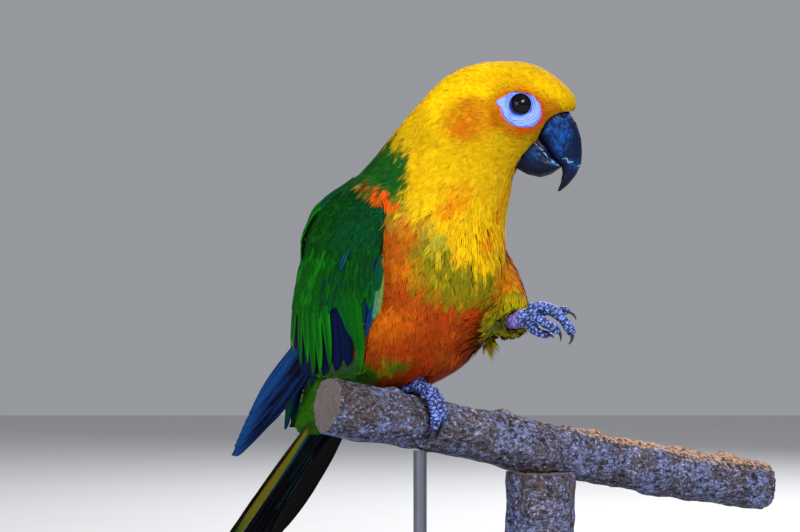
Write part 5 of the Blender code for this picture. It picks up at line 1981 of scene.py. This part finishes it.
@dataclass
class Body:
    """The skin over head, neck, trunk, legs and folded arms, and the coat that grows on it."""

    voxel: float = 1.1
    grown: float = 0.3
    smoothing: int = 4
    candidates: int = 420000
    shin_candidates: int = 60000
    coverts_low: float = 38.0
    under_wing: Pair = (9.0, 56.0)
    under_front: float = -21.0
    loose_share: float = 0.04
    trouser_reach: float = 11.0
    trouser_gap: float = 1.05
    # Where the coat stops: shares of the eye rings' outline, and mm from the bill.
    ring_clear: float = 1.03
    bill_clear: float = 0.25
    # Where a loose bunch of feathers hangs under the raised leg, in mm in the bird's frame.
    tassel: Triple = (27.0, 14.0, 20.0)
    tassel_reach: float = 5.0
    chance: np.random.Generator = seeded(7)

    def build(self) -> "Body":
        """Makes the skin and keeps the surfaces that the other parts need."""
        outline = remeshed(solids(*FLESH_NODES, grown=self.grown), self.voxel, self.smoothing)
        self.outline = Surface(outline)
        self.wings = Surface(solids("wing_left", "wing_right"))
        self.flesh = Surface(solids("head", "neck", "trunk", "leg_left", "leg_right"))
        self.bill = Surface(remeshed(solids(*BILL_NODES, grown=0.35), 0.7, 1))
        points = points_of(outline)
        depth = np.where(self.on_wing(points), PLAN.on_wing(points)[1], PLAN.at(points)[1])
        push_out(outline, -(depth + self.grown))
        skin = with_modifier(outline, "SMOOTH", factor=0.5, iterations=3)
        self.unwrap = Unwrap(skin)
        self.lying = Surface(skin)
        mesh = self.refined(skin)
        tint, bare = MARKINGS.skin(points_of(mesh), self.on_wing(points_of(mesh)))
        set_points(mesh, RING.shaped(points_of(mesh)))
        write(mesh, "tint", tint)
        write(mesh, "bare", bare)
        add_piece("skin", mesh, SkinFinish().material(), "plumage", *FLESH_NODES)
        return self

    def on_wing(self, points: Array) -> Array:
        """Whether the nearest part of each point is a folded wing."""
        return self.wings.nearest(points)[2] < self.flesh.nearest(points)[2]

    def covered(self, points: Array) -> Array:
        """Which points of the body lie under a wing's long feathers, where no coat shows."""
        bird = BIRD.inside(points)
        low, high = self.under_wing
        beside = (round_wing(bird) > self.under_front) & (np.abs(bird[:, 1]) > 12)
        return beside & (bird[:, 2] > low) & (bird[:, 2] < high)

    def refined(self, mesh: bpy.types.Mesh) -> bpy.types.Mesh:
        """The skin with a finer mesh round the eyes."""
        bm = bmesh.new()
        bm.from_mesh(mesh)
        for limit in (1.5, 1.35, 1.25):
            bm.verts.index_update()
            share = RING.seen(np.array([vert.co for vert in bm.verts]))[3]
            edges = [edge for edge in bm.edges if min(share[vert.index] for vert in edge.verts) < limit]
            bmesh.ops.subdivide_edges(bm, edges=edges, cuts=1, smooth=0.0)
            bmesh.ops.triangulate(bm, faces=[face for face in bm.faces if len(face.verts) > 3])
        share = RING.seen(np.array([vert.co for vert in bm.verts]))[3]
        near = [vert for vert, far in zip(bm.verts, share) if far < 1.4]
        axes = {f"use_axis_{axis}": True for axis in "xyz"}
        for _ in range(3):
            bmesh.ops.smooth_vert(bm, verts=near, factor=0.5, **axes)
        return mesh_of(bm, "skin")

    def coat(self) -> None:
        """Grows the contour feathers."""
        roots, normals = self.lying.scattered(self.candidates, self.chance)
        wing = self.on_wing(roots)
        sizes = np.where(wing, PLAN.on_wing(roots), PLAN.at(roots))
        low = BIRD.inside(roots)[:, 2] < self.coverts_low
        clear = (RING.seen(roots)[3] > self.ring_clear) & (self.bill.depth(roots) > self.bill_clear)
        clear &= ~(wing & low) & (wing | ~self.covered(roots))
        roots, normals, wing, sizes = roots[clear], normals[clear], wing[clear], sizes[:, clear]
        keep = thinned(roots, sizes[2] * MM)
        roots, normals, wing = roots[keep], normals[keep], wing[keep]
        length, depth, _ = sizes[:, keep]
        count = len(roots)
        luck = self.chance.random(count)
        ways = LIE.at(roots, normals)
        ends = roots + ways * (length * MM)[:, None]
        length = length * np.where(RING.seen(ends)[3] < 1.04, 0.4, 1.0)
        ends = roots + ways * (length * 0.6 * MM)[:, None]
        tint = np.where(wing[:, None], MARKINGS.wing(ends, luck), MARKINGS.body(ends, luck))
        tint *= self.chance.uniform(0.88, 1.1, (count, 1))
        loose = self.chance.random(count) < self.loose_share
        tufts = Tufts(
            roots, normals, length * self.chance.uniform(0.85, 1.2, count) * MM,
            depth * self.chance.uniform(0.85, 1.1, count) * MM, length * PLAN.width_share * 0.5 * MM,
            tint, np.where(loose, depth * 0.25, 0.0) * MM, self.chance.normal(0, 0.14, count),
        )
        finish = PlumageFinish("plumage").material()
        Coat(self.lying, self.unwrap, finish).pieces("coat", tufts, "plumage")
        self.trousers(finish)

    def trousers(self, finish: bpy.types.Material) -> None:
        """Grows the loose feathers that hang over both shins from the ends of the legs."""
        legs = Surface(remeshed(solids(*SHIN_NODES, grown=0.5), 0.9, 3))
        roots, normals = legs.scattered(self.shin_candidates, self.chance)
        bird = BIRD.inside(roots)
        reach, other, below = (
            np.linalg.norm(bird - spot, axis=1) for spot in (KNEE, STANDING_SHANK, self.tassel)
        )
        reach = np.minimum(reach, other)
        near = (reach < self.trouser_reach) | (below < self.tassel_reach)
        near &= self.flesh.nearest(roots)[2] < 0.9 * MM
        roots, normals, below = roots[near], normals[near], below[near]
        keep = thinned(roots, np.full(len(roots), self.trouser_gap * MM))
        roots, normals, below = roots[keep], normals[keep], below[keep]
        count = len(roots)
        luck = self.chance.random(count)
        length = self.chance.uniform(6.0, 9.5, count)
        hang = smooth(self.tassel_reach, 3, below)
        tint = mixed(MARKINGS.body(roots, luck), Hue.SHANK.linear(), hang)
        tint *= self.chance.uniform(0.85, 1.1, (count, 1))
        lift = self.chance.uniform(0.2, 1.5, count) + self.chance.uniform(4, 7, count) * hang
        tufts = Tufts(
            roots, normals, length * MM, np.full(count, 0.9 * MM),
            length * PLAN.width_share * 0.45 * MM, tint, lift * MM,
            self.chance.normal(0, 0.16, count),
        )
        Coat(legs, self.unwrap, finish).pieces("trousers", tufts, "plumage")


@dataclass(frozen=True)
class Studio:
    """The floor, the lights and the camera."""

    eye: Triple = (-0.0309, -0.975, 0.1731)
    lens: float = 115.54
    floor_size: float = 4.0
    aim: Triple = (0.0, 0.0, 0.16)
    sky: "tuple[float, ...]" = (0.9, 0.93, 1.0, 1.0)
    sky_strength: float = 0.34
    # Each lamp's name, place in metres, size, power and colour.
    LAMPS = (
        ("key_light", (0.42, -0.95, 0.95), 0.45, 21.0, (1.0, 0.98, 0.95)),
        ("fill_light", (-0.95, -0.75, 0.45), 0.7, 8.0, (0.95, 0.97, 1.0)),
        ("back_light", (0.3, 0.95, 0.8), 0.6, 12.0, (1, 1, 1)),
    )

    def lamp(self, name: str, at: Triple, size: float, power: float, tint: Triple) -> None:
        """Adds a soft square light that faces the bird."""
        light = bpy.data.lights.new(name, "AREA")
        light.shape = "SQUARE"
        light.size, light.energy, light.color = size, power, tint
        lamp = bpy.data.objects.new(name, light)
        lamp.location = at
        lamp.rotation_euler = (Vector(at) - Vector(self.aim)).to_track_quat("Z", "Y").to_euler()
        bpy.context.scene.collection.objects.link(lamp)

    def build(self) -> None:
        """Sets the studio up."""
        scene = bpy.context.scene
        bm = bmesh.new()
        bmesh.ops.create_grid(bm, x_segments=1, y_segments=1, size=self.floor_size / 2)
        mesh = mesh_of(bm, "floor")
        mesh.materials.append(FloorFinish().material())
        floor = bpy.data.objects.new("floor", mesh)
        scene.collection.objects.link(floor)
        for lamp in self.LAMPS:
            self.lamp(*lamp)
        world = bpy.data.worlds.new("studio")
        scene.world = world
        world.use_nodes = True
        background = world.node_tree.nodes["Background"].inputs
        background["Color"].default_value = self.sky
        background["Strength"].default_value = self.sky_strength
        scene.view_settings.view_transform = "Standard"
        camera = bpy.data.cameras.new("camera")
        camera.lens = self.lens
        camera.clip_start = 0.01
        holder = bpy.data.objects.new("camera", camera)
        holder.location = self.eye
        holder.rotation_euler = (math.radians(90), 0, 0)
        scene.collection.objects.link(holder)
        scene.camera = holder


def main() -> None:
    """Builds the bird, its perch and stand, and the studio."""
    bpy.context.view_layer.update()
    Studio().build()
    Body().build().coat()
    plumes = Plumes(VaneFinish("long_feathers").material())
    for side in (RIGHT, LEFT):
        Wing(side, plumes).build()
    Tail(plumes).build()
    Bill().build()
    gloss = EyeFinish().material()
    scaled, claw = FootFinish().material(), ClawFinish().material()
    for side in (RIGHT, LEFT):
        Eyeball(side).build(gloss)
        Foot(side).build(scaled, claw)
    Perch().build()
    Stand().build()


if __name__ == "__main__":
    logging.basicConfig(level=logging.INFO, format="%(message)s")
    main()
